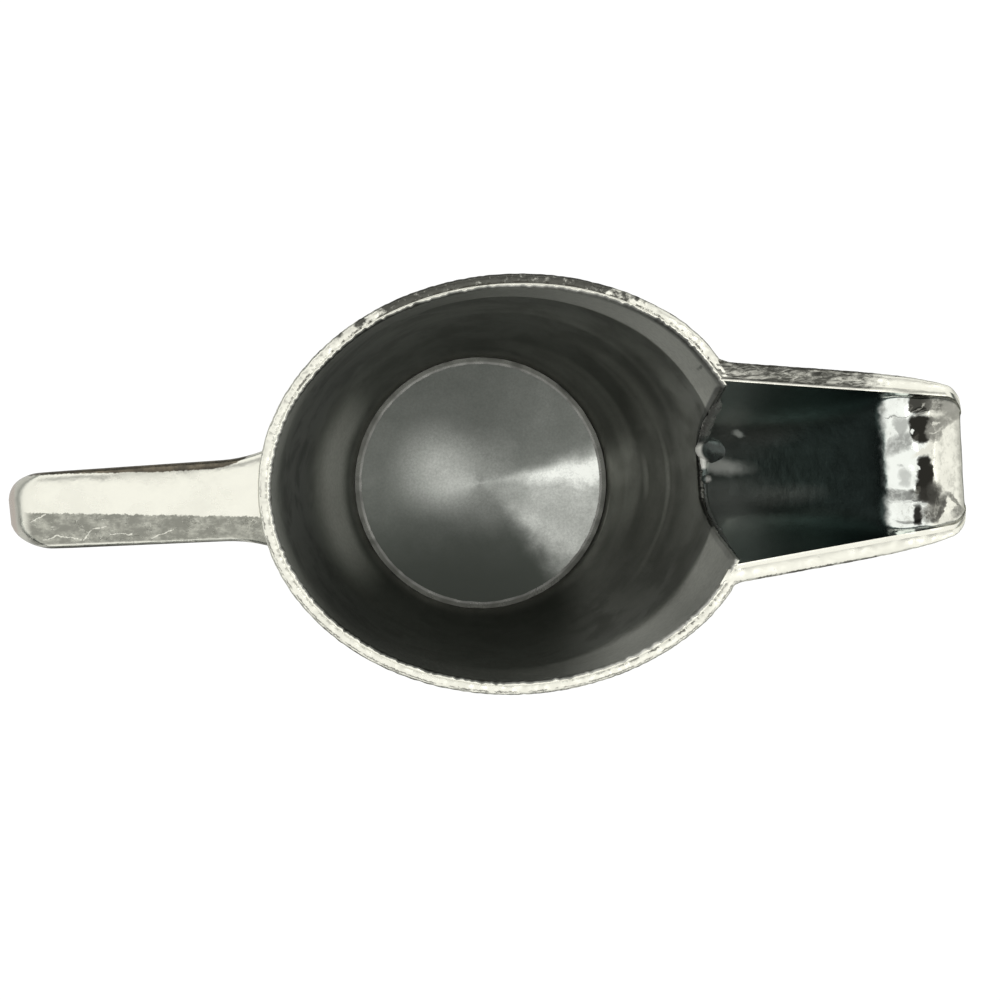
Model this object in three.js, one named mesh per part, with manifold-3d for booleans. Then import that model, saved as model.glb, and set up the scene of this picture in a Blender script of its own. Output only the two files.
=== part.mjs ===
// A soldered metal creamer: oval body on a foot ring, scoop spout, rim wires and a hollow strap handle.
// Millimetres, +Z up, +X toward the spout. The origin is on the table, under the centre of the foot.
import * as THREE from "three";
import { mergeVertices } from "three/addons/utils/BufferGeometryUtils.js";
import Module from "manifold-3d";

const wasm = await Module();
wasm.setup();

// Sheet metal and solder
const WALL = 0.8; // sheet of the body and the spout
const SEAM = 0.3; // solder line between two joined pieces
const SOLDER_LEG = 0.9; // width of a solder fillet on each of the faces it joins

// Body
const RIM_HEIGHT = 72; // table to the mouth
const MOUTH_LENGTH = 81.9; // outside the rim wire, along the spout
const MOUTH_WIDTH = 66.9; // outside the rim wire, side to side
const MOUTH_LEAD = 6; // centre of the mouth ahead of the centre of the foot
const BASE_DIAMETER = 52.2; // outside the wall, just above the bottom corner
const BELLY = 3; // outward swell of the wall at half its height
const BOTTOM_CORNER = 1.2; // inside radius where the wall turns under
const FLANGE_WIDTH = 4; // flat rim of the bottom that carries the floor disc

// Floor and foot
const FLOOR_THICKNESS = 1.2;
const FOOT_HEIGHT = 3.6;
const FOOT_DIAMETER = 53.2; // on the table
const FOOT_BAND = 1.6; // thickness of the foot ring at its top
const FOOT_TREAD = 2.4; // width of the foot ring where it stands on the table
const FOOT_EDGE = 0.9; // upright edge below the hollow flare of the foot ring

// Mouth wire
const MOUTH_WIRE_WIDTH = 1.25;
const MOUTH_WIRE_HEIGHT = 2.4;

// Spout
const SPOUT_REACH = 77; // centre of the foot to the tip of the lip
const SPOUT_ROOT_WIDTH = 29.2; // inside, where the spout meets the body
const SPOUT_LIP_WIDTH = 19.6; // inside, at the tip, as if the lip had square corners
const SPOUT_DEPTH = 27; // bottom of the opening in the body below the mouth
const SPOUT_LEDGE = 0.7; // edge of the body sheet that stands proud inside the spout
const SPOUT_RISE = 2.5; // spout edge above the mouth at the lip
const LIP_LENGTH = 12.5; // lip beyond the top of the ramp
const LIP_ROLL = 6.5; // part of the lip that rolls downward to its tip
const LIP_DEPTH = 2.5; // crest of the lip below the spout edges
const LIP_DROP = 1; // tip of the lip below its crest
const LIP_EDGE = 0.4; // spout edge above the lip at the tip
const LIP_CORNER = 2.6; // plan radius of the corners of the lip
const SPOUT_WIRE_WIDTH = 2;
const SPOUT_WIRE_HEIGHT = 2.4;
const SPOUT_WIRE_TIP = 0.5; // width and height of the wire where it fades out at the lip
const SPOUT_WIRE_STOP = 1.2; // end of the wire short of the tip of the lip

// Handle
const HANDLE_REACH = 77; // centre of the foot to the back of the handle
const HANDLE_WIDTH = 13.4;
const HANDLE_TAIL_WIDTH = 10.4; // at the lower joint
const HANDLE_THICKNESS = 5.2;
const HANDLE_SHEET = 0.9; // sheet of the two struck halves
const HANDLE_FLARE = 0.8; // extra half width where the handle meets the body
const HANDLE_FLARE_LENGTH = 6;
const HANDLE_ELBOW = 0.6; // inside radius of the upper elbow
const HANDLE_DROP = 27; // upper arm down to the lower bend
const HANDLE_TUCK = 9; // lower bend inside the reach of the handle
const HANDLE_BEND = 14; // inside radius of the lower bend
const HANDLE_TAIL_HEIGHT = 20; // lower joint above the table

// Curve shapes and facet counts
const ROUND_STEPS = 60; // facets round the body
const WALL_STEPS = 8; // facets up the wall
const CORNER_STEPS = 3; // facets in a bottom corner
const WIRE_STEPS = 6; // facets round the outside of a wire
const WIRE_FULLNESS = 3; // 2 is a half ellipse, more is squarer
const WIRE_FADE = 6; // how late the spout wire thins toward the lip
const SECTION_STEPS = 14; // facets across the spout
const ROOT_FULLNESS = 2; // the spout is a parabola at the body
const LIP_FULLNESS = 5; // and a flat tray at the lip
const HANDLE_FULLNESS = 4; // flat strap with rounded edges
const HANDLE_STEPS = 10; // facets across one half of the handle
const RAMP_STEPS = 4; // facets up the ramp of the spout
const SHOULDER_STEPS = 4; // facets over its shoulder
const LIP_STEPS = 3; // facets along the lip, and again round its corners
const FOOT_STEPS = 3; // facets up the flare of the foot ring
const ARM_FACETS = 4; // facets along a straight run of the handle
const BEND_FACETS = 5; // facets round a bend of the handle
const OVERRUN = 10; // cutting solids reach this far past what they cut

// Heights and radii that follow from the sizes above
const BASE_RADIUS = BASE_DIAMETER / 2;
const FLANGE_TOP = FOOT_HEIGHT + WALL;
const FLAT_RADIUS = BASE_RADIUS - WALL - BOTTOM_CORNER;
const WALL_START = FLANGE_TOP + BOTTOM_CORNER;
const FLOOR_RADIUS = FLAT_RADIUS - SEAM;
const FLOOR_TOP = FLANGE_TOP + FLOOR_THICKNESS;
const RIM_HALF_WIDTH = MOUTH_WIDTH / 2 - MOUTH_WIRE_WIDTH - SEAM;
const RIM_STRETCH = (MOUTH_LENGTH - MOUTH_WIDTH) / 2;

const lerp = THREE.MathUtils.lerp;
const clamp = THREE.MathUtils.clamp;

// Even steps from one value to another, without the first
const spread = (from, to, count) =>
  Array.from({ length: count }, (_, i) => lerp(from, to, (i + 1) / count));

// Share of the wall's height: 0 where it leaves the bottom corner, 1 at the mouth
const rise = (z) => Math.max(0, (z - WALL_START) / (RIM_HEIGHT - WALL_START));

// Outside of the body at a height: half its width, and how far it reaches forward and back
function halfWidth(z) {
  const t = rise(z);
  return lerp(BASE_RADIUS, RIM_HALF_WIDTH, t) + BELLY * Math.sin(Math.PI * Math.min(t, 1));
}
const frontOf = (z) => halfWidth(z) + (RIM_STRETCH + MOUTH_LEAD) * rise(z);
const backOf = (z) => -halfWidth(z) - (RIM_STRETCH - MOUTH_LEAD) * rise(z);

// Solids and meshes
function solidOf(geometry) {
  geometry.deleteAttribute("normal");
  geometry.deleteAttribute("uv");
  const merged = mergeVertices(geometry);
  const mesh = new wasm.Mesh({
    numProp: 3,
    vertProperties: merged.attributes.position.array,
    triVerts: new Uint32Array(merged.index.array),
  });
  return new wasm.Manifold(mesh);
}

function geometryOf(solid) {
  const mesh = solid.getMesh();
  return new THREE.BufferGeometry()
    .setAttribute("position", new THREE.BufferAttribute(mesh.vertProperties, 3))
    .setIndex(new THREE.BufferAttribute(mesh.triVerts, 1));
}

// Turns a closed profile of [radius, height] points about the Z axis
function turned(profile) {
  const points = profile.map(([radius, height]) => new THREE.Vector2(radius, height));
  return new THREE.LatheGeometry(points, ROUND_STEPS).rotateX(Math.PI / 2);
}

// Draws a turned body out into the oval, and leans it forward, more and more toward the mouth
function ovalled(geometry) {
  const place = geometry.attributes.position;
  for (let i = 0; i < place.count; i++) {
    const x = place.getX(i);
    const t = rise(place.getZ(i));
    const radius = Math.hypot(x, place.getY(i)) || 1;
    place.setX(i, x + t * (RIM_STRETCH * (x / radius) + MOUTH_LEAD));
  }
  return geometry;
}

// Ways to close the end of a section: a fan for a full one, a strip for a thin one of two like curves
const fan = (count) => Array.from({ length: count - 2 }, (_, i) => [0, i + 1, i + 2]);
const strip = (count) =>
  Array.from({ length: count / 2 - 1 }, (_, i) => [
    [i, i + 1, count - 1 - i],
    [i + 1, count - 2 - i, count - 1 - i],
  ]).flat();

// Skins a row of closed sections, each an array of points, and closes both ends
function lofted(sections, closing) {
  const count = sections[0].length;
  const index = [];
  sections.slice(1).forEach((_, row) => {
    for (let i = 0; i < count; i++) {
      const a = row * count + i;
      const b = row * count + ((i + 1) % count);
      index.push(a, b, a + count, b, b + count, a + count);
    }
  });
  const last = (sections.length - 1) * count;
  for (const [a, b, c] of closing(count)) {
    index.push(a, c, b, last + a, last + b, last + c);
  }
  return new THREE.BufferGeometry().setFromPoints(sections.flat()).setIndex(index);
}

// Heights of the facets up the wall, from the bottom corner to the mouth
const wallHeights = [WALL_START, ...spread(WALL_START, RIM_HEIGHT, WALL_STEPS)];

// Quarter round of a bottom corner, from the flat bottom to the wall
const cornerPoints = (radius) =>
  Array.from({ length: CORNER_STEPS }, (_, i) => {
    const angle = ((i / CORNER_STEPS) * Math.PI) / 2;
    return [FLAT_RADIUS + radius * Math.sin(angle), WALL_START - radius * Math.cos(angle)];
  });

// Everything inside the outer face of the body, grown by a gap, for cutting what meets the body
function bodyEnvelope(gap, top) {
  const heights = [...wallHeights.filter((z) => z < top), top];
  const side = heights.map((z) => [halfWidth(z) + gap, z]);
  return solidOf(ovalled(turned([[0, WALL_START], ...side, [0, top]])));
}

// Spout: plan, side view and cross section along X
const SPOUT_ROOT = frontOf(RIM_HEIGHT - SPOUT_DEPTH);
const RAMP_END = SPOUT_REACH - LIP_LENGTH;
const LIP_CREST = SPOUT_REACH - LIP_ROLL;
const LIP_SQUARE = SPOUT_REACH - LIP_CORNER;
const along = (x) => clamp((x - SPOUT_ROOT) / (SPOUT_REACH - SPOUT_ROOT), 0, 1);
const past = (x) => clamp((x - LIP_CREST) / LIP_ROLL, 0, 1);
const openEdge = (x) => RIM_HEIGHT + SPOUT_RISE * along(x) ** 2;
const KEEL_START = RIM_HEIGHT - SPOUT_DEPTH;
const KEEL_CREST = openEdge(LIP_CREST) - LIP_DEPTH;
const RAMP_SLOPE = (KEEL_CREST - KEEL_START) / ((RAMP_END + LIP_CREST) / 2 - SPOUT_ROOT);

// Bottom line of the spout: a straight ramp, a round shoulder and the downward roll of the lip
function keel(x) {
  const ramp = KEEL_START + RAMP_SLOPE * (clamp(x, SPOUT_ROOT, RAMP_END) - SPOUT_ROOT);
  const shoulder = LIP_CREST - RAMP_END;
  const turn = clamp((x - RAMP_END) / shoulder, 0, 1);
  return ramp + RAMP_SLOPE * shoulder * (turn - turn ** 2 / 2) - LIP_DROP * past(x) ** 2;
}

const keelSlope = (x) => (x > SPOUT_ROOT && x < RAMP_END ? RAMP_SLOPE : 0);
const edge = (x) => lerp(openEdge(x), keel(x) + LIP_EDGE, past(x) ** 2);

function spoutHalfWidth(x) {
  const straight = lerp(SPOUT_ROOT_WIDTH, SPOUT_LIP_WIDTH, along(x)) / 2;
  const round = clamp(x - LIP_SQUARE, 0, LIP_CORNER);
  return straight - LIP_CORNER + Math.sqrt(LIP_CORNER ** 2 - round ** 2);
}

// One side to the other across the spout, moved outward from the inside face by an offset
function spoutCurve(x, offset) {
  const width = spoutHalfWidth(x);
  const depth = edge(x) - keel(x);
  const fullness = lerp(ROOT_FULLNESS, LIP_FULLNESS, along(x));
  const steep = Math.hypot(1, keelSlope(x));
  return Array.from({ length: SECTION_STEPS + 1 }, (_, i) => {
    const side = (2 * i) / SECTION_STEPS - 1;
    const climb = (depth * fullness * Math.abs(side) ** (fullness - 1)) / width;
    const length = Math.hypot(1, climb);
    const y = side * width + (Math.sign(side) * offset * climb) / length;
    const z = edge(x) - depth * (1 - Math.abs(side) ** fullness) - (offset * steep) / length;
    const isEdge = i === 0 || i === SECTION_STEPS;
    return isEdge ? [Math.sign(side) * (width + offset), edge(x)] : [y, z];
  });
}

const sectionAt = (x, points) => points.map(([y, z]) => new THREE.Vector3(x, y, z));

// Places along the spout, closer together at the shoulder and round the corners of the lip
const spoutStations = [
  SPOUT_ROOT - OVERRUN,
  SPOUT_ROOT,
  ...spread(SPOUT_ROOT, RAMP_END, RAMP_STEPS),
  ...spread(RAMP_END, LIP_CREST, SHOULDER_STEPS),
  ...spread(LIP_CREST, LIP_SQUARE, LIP_STEPS),
  ...spread(0, Math.PI / 2, LIP_STEPS).map((angle) => LIP_SQUARE + LIP_CORNER * Math.sin(angle)),
];

function spoutTrough() {
  const ring = (x) => [...spoutCurve(x, WALL), ...spoutCurve(x, 0).reverse()];
  const sections = spoutStations.map((x) => sectionAt(x, ring(x)));
  return solidOf(lofted(sections, strip));
}

// Hollow of the spout, shrunk by an inset and filled up past its edges
function spoutHollow(inset) {
  const lid = RIM_HEIGHT + OVERRUN;
  const ring = (x) => {
    const curve = spoutCurve(x, -inset);
    return [...curve, [curve.at(-1)[0], lid], [curve[0][0], lid]];
  };
  const sections = spoutStations.filter((x) => x < LIP_CREST).map((x) => sectionAt(x, ring(x)));
  return solidOf(lofted(sections, fan));
}

// Spout wires: the side is 1 for the left edge and -1 for the right one
const WIRE_END = SPOUT_REACH - SPOUT_WIRE_STOP;
const wireFade = (x) => 1 - clamp((x - SPOUT_ROOT) / (WIRE_END - SPOUT_ROOT), 0, 1) ** WIRE_FADE;
const wireSize = (x, full) => lerp(SPOUT_WIRE_TIP, full, wireFade(x));

// Half of a rounded section: from its bottom, round the outside, to its top
const halfRound = (width, height) =>
  Array.from({ length: WIRE_STEPS + 1 }, (_, i) => {
    const angle = (i / WIRE_STEPS - 0.5) * Math.PI;
    const out = Math.cos(angle) ** (2 / WIRE_FULLNESS);
    const up = Math.sign(angle) * Math.abs(Math.sin(angle)) ** (2 / WIRE_FULLNESS);
    return [i === 0 || i === WIRE_STEPS ? 0 : width * out, (height / 2) * (up - 1)];
  });

function spoutWire(side) {
  const ring = (x) => {
    const inner = spoutHalfWidth(x) + WALL + SEAM;
    const outside = halfRound(wireSize(x, SPOUT_WIRE_WIDTH), wireSize(x, SPOUT_WIRE_HEIGHT));
    const points = outside.map(([out, down]) => [side * (inner + out), edge(x) + down]);
    return side > 0 ? points : points.reverse();
  };
  const places = [...spoutStations.filter((x) => x < WIRE_END), WIRE_END];
  const sections = places.map((x) => sectionAt(x, ring(x)));
  return solidOf(lofted(sections, fan));
}

// The strip of the mouth that the spout and its wires take up
function spoutPassage() {
  const low = RIM_HEIGHT - MOUTH_WIRE_HEIGHT - OVERRUN;
  const high = RIM_HEIGHT + OVERRUN;
  const ring = (x) => {
    const half = spoutHalfWidth(x) + WALL + SEAM + SPOUT_WIRE_WIDTH + SEAM;
    return [
      [-half, low],
      [half, low],
      [half, high],
      [-half, high],
    ];
  };
  const places = [MOUTH_LEAD, SPOUT_ROOT, RAMP_END];
  const sections = places.map((x) => sectionAt(x, ring(x)));
  return solidOf(lofted(sections, fan));
}

// Handle: a flat path in the XZ plane, upper arm, elbow, back, lower bend and tail
const HANDLE_TOP = RIM_HEIGHT - MOUTH_WIRE_HEIGHT - SEAM - SOLDER_LEG - SEAM;
const ARM_HEIGHT = HANDLE_TOP - HANDLE_THICKNESS / 2;
const ARM_START = backOf(ARM_HEIGHT) + OVERRUN;
const bendRadii = [HANDLE_ELBOW, HANDLE_BEND].map((inside) => inside + HANDLE_THICKNESS / 2);
const ELBOW_TURN = Math.PI / 2 + Math.atan2(HANDLE_TUCK, HANDLE_DROP);
const ELBOW_SETBACK = bendRadii[0] * (1 - Math.tan(ELBOW_TURN / 2));
const ARM_END = -HANDLE_REACH + HANDLE_THICKNESS / 2 + ELBOW_SETBACK;
const TAIL_END = backOf(HANDLE_TAIL_HEIGHT) + OVERRUN;
const handleCorners = [
  new THREE.Vector2(ARM_START, ARM_HEIGHT),
  new THREE.Vector2(ARM_END, ARM_HEIGHT),
  new THREE.Vector2(ARM_END + HANDLE_TUCK, ARM_HEIGHT - HANDLE_DROP),
  new THREE.Vector2(TAIL_END, HANDLE_TAIL_HEIGHT),
];

// Straight runs joined by arcs, as stations with a place, a direction and the length so far
function handleStations() {
  const path = new THREE.Path();
  path.moveTo(handleCorners[0].x, handleCorners[0].y);
  bendRadii.forEach((radius, i) => {
    const [before, corner, after] = handleCorners.slice(i, i + 3);
    const arriving = corner.clone().sub(before).normalize();
    const leaving = after.clone().sub(corner).normalize();
    const turn = arriving.angleTo(leaving);
    const start = corner.clone().addScaledVector(arriving, -radius * Math.tan(turn / 2));
    const centre = start.clone().add(new THREE.Vector2(-arriving.y, arriving.x).multiplyScalar(radius));
    const angle = Math.atan2(start.y - centre.y, start.x - centre.x);
    path.lineTo(start.x, start.y);
    path.absarc(centre.x, centre.y, radius, angle, angle + turn, false);
  });
  path.lineTo(handleCorners[3].x, handleCorners[3].y);
  const stations = [];
  let length = 0;
  for (const curve of path.curves.filter((run) => run.getLength() > SEAM)) {
    const facets = curve.isLineCurve ? ARM_FACETS : BEND_FACETS;
    for (let i = stations.length ? 1 : 0; i <= facets; i++) {
      const place = curve.getPoint(i / facets);
      const heading = curve.getTangent(i / facets);
      stations.push({ place, heading, length: length + (curve.getLength() * i) / facets });
    }
    length += curve.getLength();
  }
  return stations;
}

const handleRun = handleStations();
const pathLength = handleRun.at(-1).length;

// Half width of the strap: flared at the upper joint, then tapering to the tail
function strapHalfWidth(length) {
  const fromBody = clamp((length - OVERRUN) / HANDLE_FLARE_LENGTH, 0, 1);
  const taper = lerp(HANDLE_WIDTH, HANDLE_TAIL_WIDTH, length / pathLength) / 2;
  return taper + HANDLE_FLARE * (1 - fromBody) ** 2;
}

// Points of the rounded strap over a range of angle, in across and outward measure
function strapArc(halfWide, halfThick, from, to, lift) {
  return Array.from({ length: HANDLE_STEPS + 1 }, (_, i) => {
    const angle = lerp(from, to, i / HANDLE_STEPS);
    const power = 2 / HANDLE_FULLNESS;
    const across = Math.sign(Math.cos(angle)) * Math.abs(Math.cos(angle)) ** power;
    const outward = Math.sign(Math.sin(angle)) * Math.abs(Math.sin(angle)) ** power;
    return [halfWide * across, outward * halfThick + lift];
  });
}

// Sweeps a section along the handle; its outward side is the one away from the fingers
function swept(some, ring, closing) {
  const sections = some.map(({ place, heading, length }) =>
    ring(length).map(
      ([across, outward]) =>
        new THREE.Vector3(place.x + heading.y * outward, -across, place.y - heading.x * outward),
    ),
  );
  return solidOf(lofted(sections, closing));
}

// One struck half: a thin channel, open toward the other half
function handleHalf(isOuter) {
  const sign = isOuter ? 1 : -1;
  const ring = (length) => {
    const wide = strapHalfWidth(length);
    const thick = HANDLE_THICKNESS / 2 - SEAM / 2;
    const lift = (sign * SEAM) / 2;
    const outside = strapArc(wide, thick, 0, sign * Math.PI, lift);
    const inside = strapArc(wide - HANDLE_SHEET, thick - HANDLE_SHEET, sign * Math.PI, 0, lift);
    const points = [...outside, ...inside];
    return isOuter ? points : points.reverse();
  };
  return swept(handleRun, ring, strip);
}

// Whole outline of the handle over some of its stations, grown by a gap
function handleOutline(some, gap) {
  const ring = (length) => {
    const wide = strapHalfWidth(length) + gap;
    const thick = HANDLE_THICKNESS / 2 + gap;
    const upper = strapArc(wide, thick, 0, Math.PI, 0);
    const lower = strapArc(wide, thick, Math.PI, 2 * Math.PI, 0);
    return [...upper.slice(0, -1), ...lower.slice(0, -1)];
  };
  return swept(some, ring, fan);
}

const shellEnvelope = bodyEnvelope(SEAM, RIM_HEIGHT + OVERRUN);
const solderEnvelope = bodyEnvelope(SEAM + SOLDER_LEG, RIM_HEIGHT - SEAM).subtract(shellEnvelope);

// Fillet of solder round the handle where some of its stations enter the body
function handleSolder(some) {
  const collar = handleOutline(some, SEAM + SOLDER_LEG).subtract(handleOutline(some, SEAM));
  return collar.intersect(solderEnvelope);
}

// Sub-parts
function bodyShell() {
  const outside = wallHeights.map((z) => [halfWidth(z), z]);
  const inside = wallHeights.map((z) => [halfWidth(z) - WALL, z]).reverse();
  const flangeInner = FLAT_RADIUS - FLANGE_WIDTH;
  const shell = ovalled(
    turned([
      [flangeInner, FOOT_HEIGHT],
      ...cornerPoints(BOTTOM_CORNER + WALL),
      ...outside,
      ...inside,
      ...cornerPoints(BOTTOM_CORNER).reverse(),
      [flangeInner, FLANGE_TOP],
      [flangeInner, FOOT_HEIGHT],
    ]),
  );
  return solidOf(shell).subtract(spoutHollow(SPOUT_LEDGE));
}

function floorDisc() {
  return solidOf(
    turned([
      [0, FLANGE_TOP],
      [FLOOR_RADIUS, FLANGE_TOP],
      [FLOOR_RADIUS, FLOOR_TOP],
      [0, FLOOR_TOP],
    ]),
  );
}

function floorSolderRing() {
  const under = cornerPoints(BOTTOM_CORNER - SEAM);
  const wallSide = BASE_RADIUS - WALL - SEAM;
  return solidOf(
    turned([
      ...under,
      [wallSide, WALL_START],
      [wallSide, FLOOR_TOP + SOLDER_LEG],
      [FLAT_RADIUS, FLOOR_TOP],
      under[0],
    ]),
  );
}

function footRing() {
  const top = FLAT_RADIUS - SEAM;
  const tread = FOOT_DIAMETER / 2;
  return solidOf(
    turned([
      [tread - FOOT_TREAD, 0],
      [tread, 0],
      [tread, FOOT_EDGE],
      ...spread(0, 1, FOOT_STEPS).map((t) => [
        lerp(top, tread, (1 - t) ** 2),
        lerp(FOOT_EDGE, FOOT_HEIGHT, t),
      ]),
      [top - FOOT_BAND, FOOT_HEIGHT],
      [tread - FOOT_TREAD, 0],
    ]),
  );
}

function mouthWire() {
  const outside = halfRound(MOUTH_WIRE_WIDTH, MOUTH_WIRE_HEIGHT);
  const profile = outside.map(([out, down]) => {
    const z = RIM_HEIGHT + down;
    return [halfWidth(z) + SEAM + out, z];
  });
  return solidOf(ovalled(turned([...profile, profile[0]]))).subtract(spoutPassage());
}

const spoutSolderBead = () =>
  spoutHollow(SEAM)
    .subtract(spoutHollow(SEAM + SOLDER_LEG))
    .intersect(solderEnvelope);

// Finishes
const finish = (name, color, roughness) =>
  new THREE.MeshStandardMaterial({ name, color, roughness, metalness: 1 });
const polished = () => finish("polished_silver", 0xd8d5c6, 0.18);
const tarnished = () => finish("tarnished_silver", 0x5a5c56, 0.38);
const turnedFloor = () => finish("turned_floor", 0x84867f, 0.42);
const solder = () => finish("grey_solder", 0xa3a49c, 0.45);

const upperArm = handleRun.slice(0, ARM_FACETS + 1);
const tail = handleRun.slice(-ARM_FACETS - 1);

const creamer = new THREE.Group();
creamer.name = "creamer";
const pieces = [
  ["body_shell", bodyShell(), tarnished()],
  ["floor_disc", floorDisc(), turnedFloor()],
  ["floor_solder_ring", floorSolderRing(), solder()],
  ["foot_ring", footRing(), polished()],
  ["mouth_wire", mouthWire(), polished()],
  ["spout_trough", spoutTrough().subtract(shellEnvelope), polished()],
  ["spout_wire_left", spoutWire(1).subtract(shellEnvelope), polished()],
  ["spout_wire_right", spoutWire(-1).subtract(shellEnvelope), polished()],
  ["spout_solder_bead", spoutSolderBead(), solder()],
  ["handle_outer_half", handleHalf(true).subtract(shellEnvelope), polished()],
  ["handle_inner_half", handleHalf(false).subtract(shellEnvelope), polished()],
  ["handle_upper_solder", handleSolder(upperArm), solder()],
  ["handle_lower_solder", handleSolder(tail), solder()],
];
for (const [name, solid, material] of pieces) {
  const mesh = new THREE.Mesh(geometryOf(solid), material);
  mesh.name = name;
  creamer.add(mesh);
}

export default creamer;
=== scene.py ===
"""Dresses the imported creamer: fine meshes of its sheet, wires and solder, worn silver, and a plain studio."""

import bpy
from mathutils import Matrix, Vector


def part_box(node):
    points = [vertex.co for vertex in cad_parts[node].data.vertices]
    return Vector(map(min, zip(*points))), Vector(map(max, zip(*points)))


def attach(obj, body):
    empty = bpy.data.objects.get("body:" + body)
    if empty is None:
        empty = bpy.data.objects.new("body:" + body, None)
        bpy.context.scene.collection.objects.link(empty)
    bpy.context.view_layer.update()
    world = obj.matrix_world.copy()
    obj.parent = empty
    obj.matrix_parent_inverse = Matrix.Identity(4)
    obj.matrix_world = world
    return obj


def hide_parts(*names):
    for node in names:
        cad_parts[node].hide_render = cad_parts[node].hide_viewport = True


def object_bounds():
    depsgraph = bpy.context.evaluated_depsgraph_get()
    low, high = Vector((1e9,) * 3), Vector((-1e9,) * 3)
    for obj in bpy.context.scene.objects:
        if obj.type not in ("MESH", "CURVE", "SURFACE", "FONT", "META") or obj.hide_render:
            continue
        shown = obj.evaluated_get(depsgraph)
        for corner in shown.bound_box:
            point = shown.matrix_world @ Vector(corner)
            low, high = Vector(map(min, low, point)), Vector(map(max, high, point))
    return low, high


bl_info = {
    "name": "Silver creamer",
    "version": (1, 0, 0),
    "blender": (4, 5, 0),
    "location": "3D View > Sidebar > Creamer",
    "description": "Builds the looks of a soldered silver creamer around its packed frame",
    "category": "Object",
}

import math
from functools import partial

import bmesh
import bpy
import numpy as np
from mathutils import Matrix, Vector

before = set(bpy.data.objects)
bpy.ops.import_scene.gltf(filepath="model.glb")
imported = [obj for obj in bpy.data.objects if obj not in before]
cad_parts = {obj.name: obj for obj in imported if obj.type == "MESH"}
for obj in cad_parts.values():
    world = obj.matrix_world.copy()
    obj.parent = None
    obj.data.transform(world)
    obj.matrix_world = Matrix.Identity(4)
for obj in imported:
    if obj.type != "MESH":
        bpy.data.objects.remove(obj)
CAD_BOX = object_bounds()
MM = 0.001


# Sizes and colours that a user would change
def length(name, about, millimetres):
    """A length property whose default is given in millimetres."""
    return bpy.props.FloatProperty(
        name=name, description=about, default=millimetres * MM, unit="LENGTH", precision=5
    )


def from_frame(node, corner, axis):
    """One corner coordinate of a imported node, in millimetres."""
    return abs(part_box(node)[corner][axis]) / MM


def colour(name, about, red, green, blue):
    """A colour property."""
    return bpy.props.FloatVectorProperty(
        name=name, description=about, default=(red, green, blue), size=3, min=0, max=1, subtype="COLOR"
    )


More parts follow.
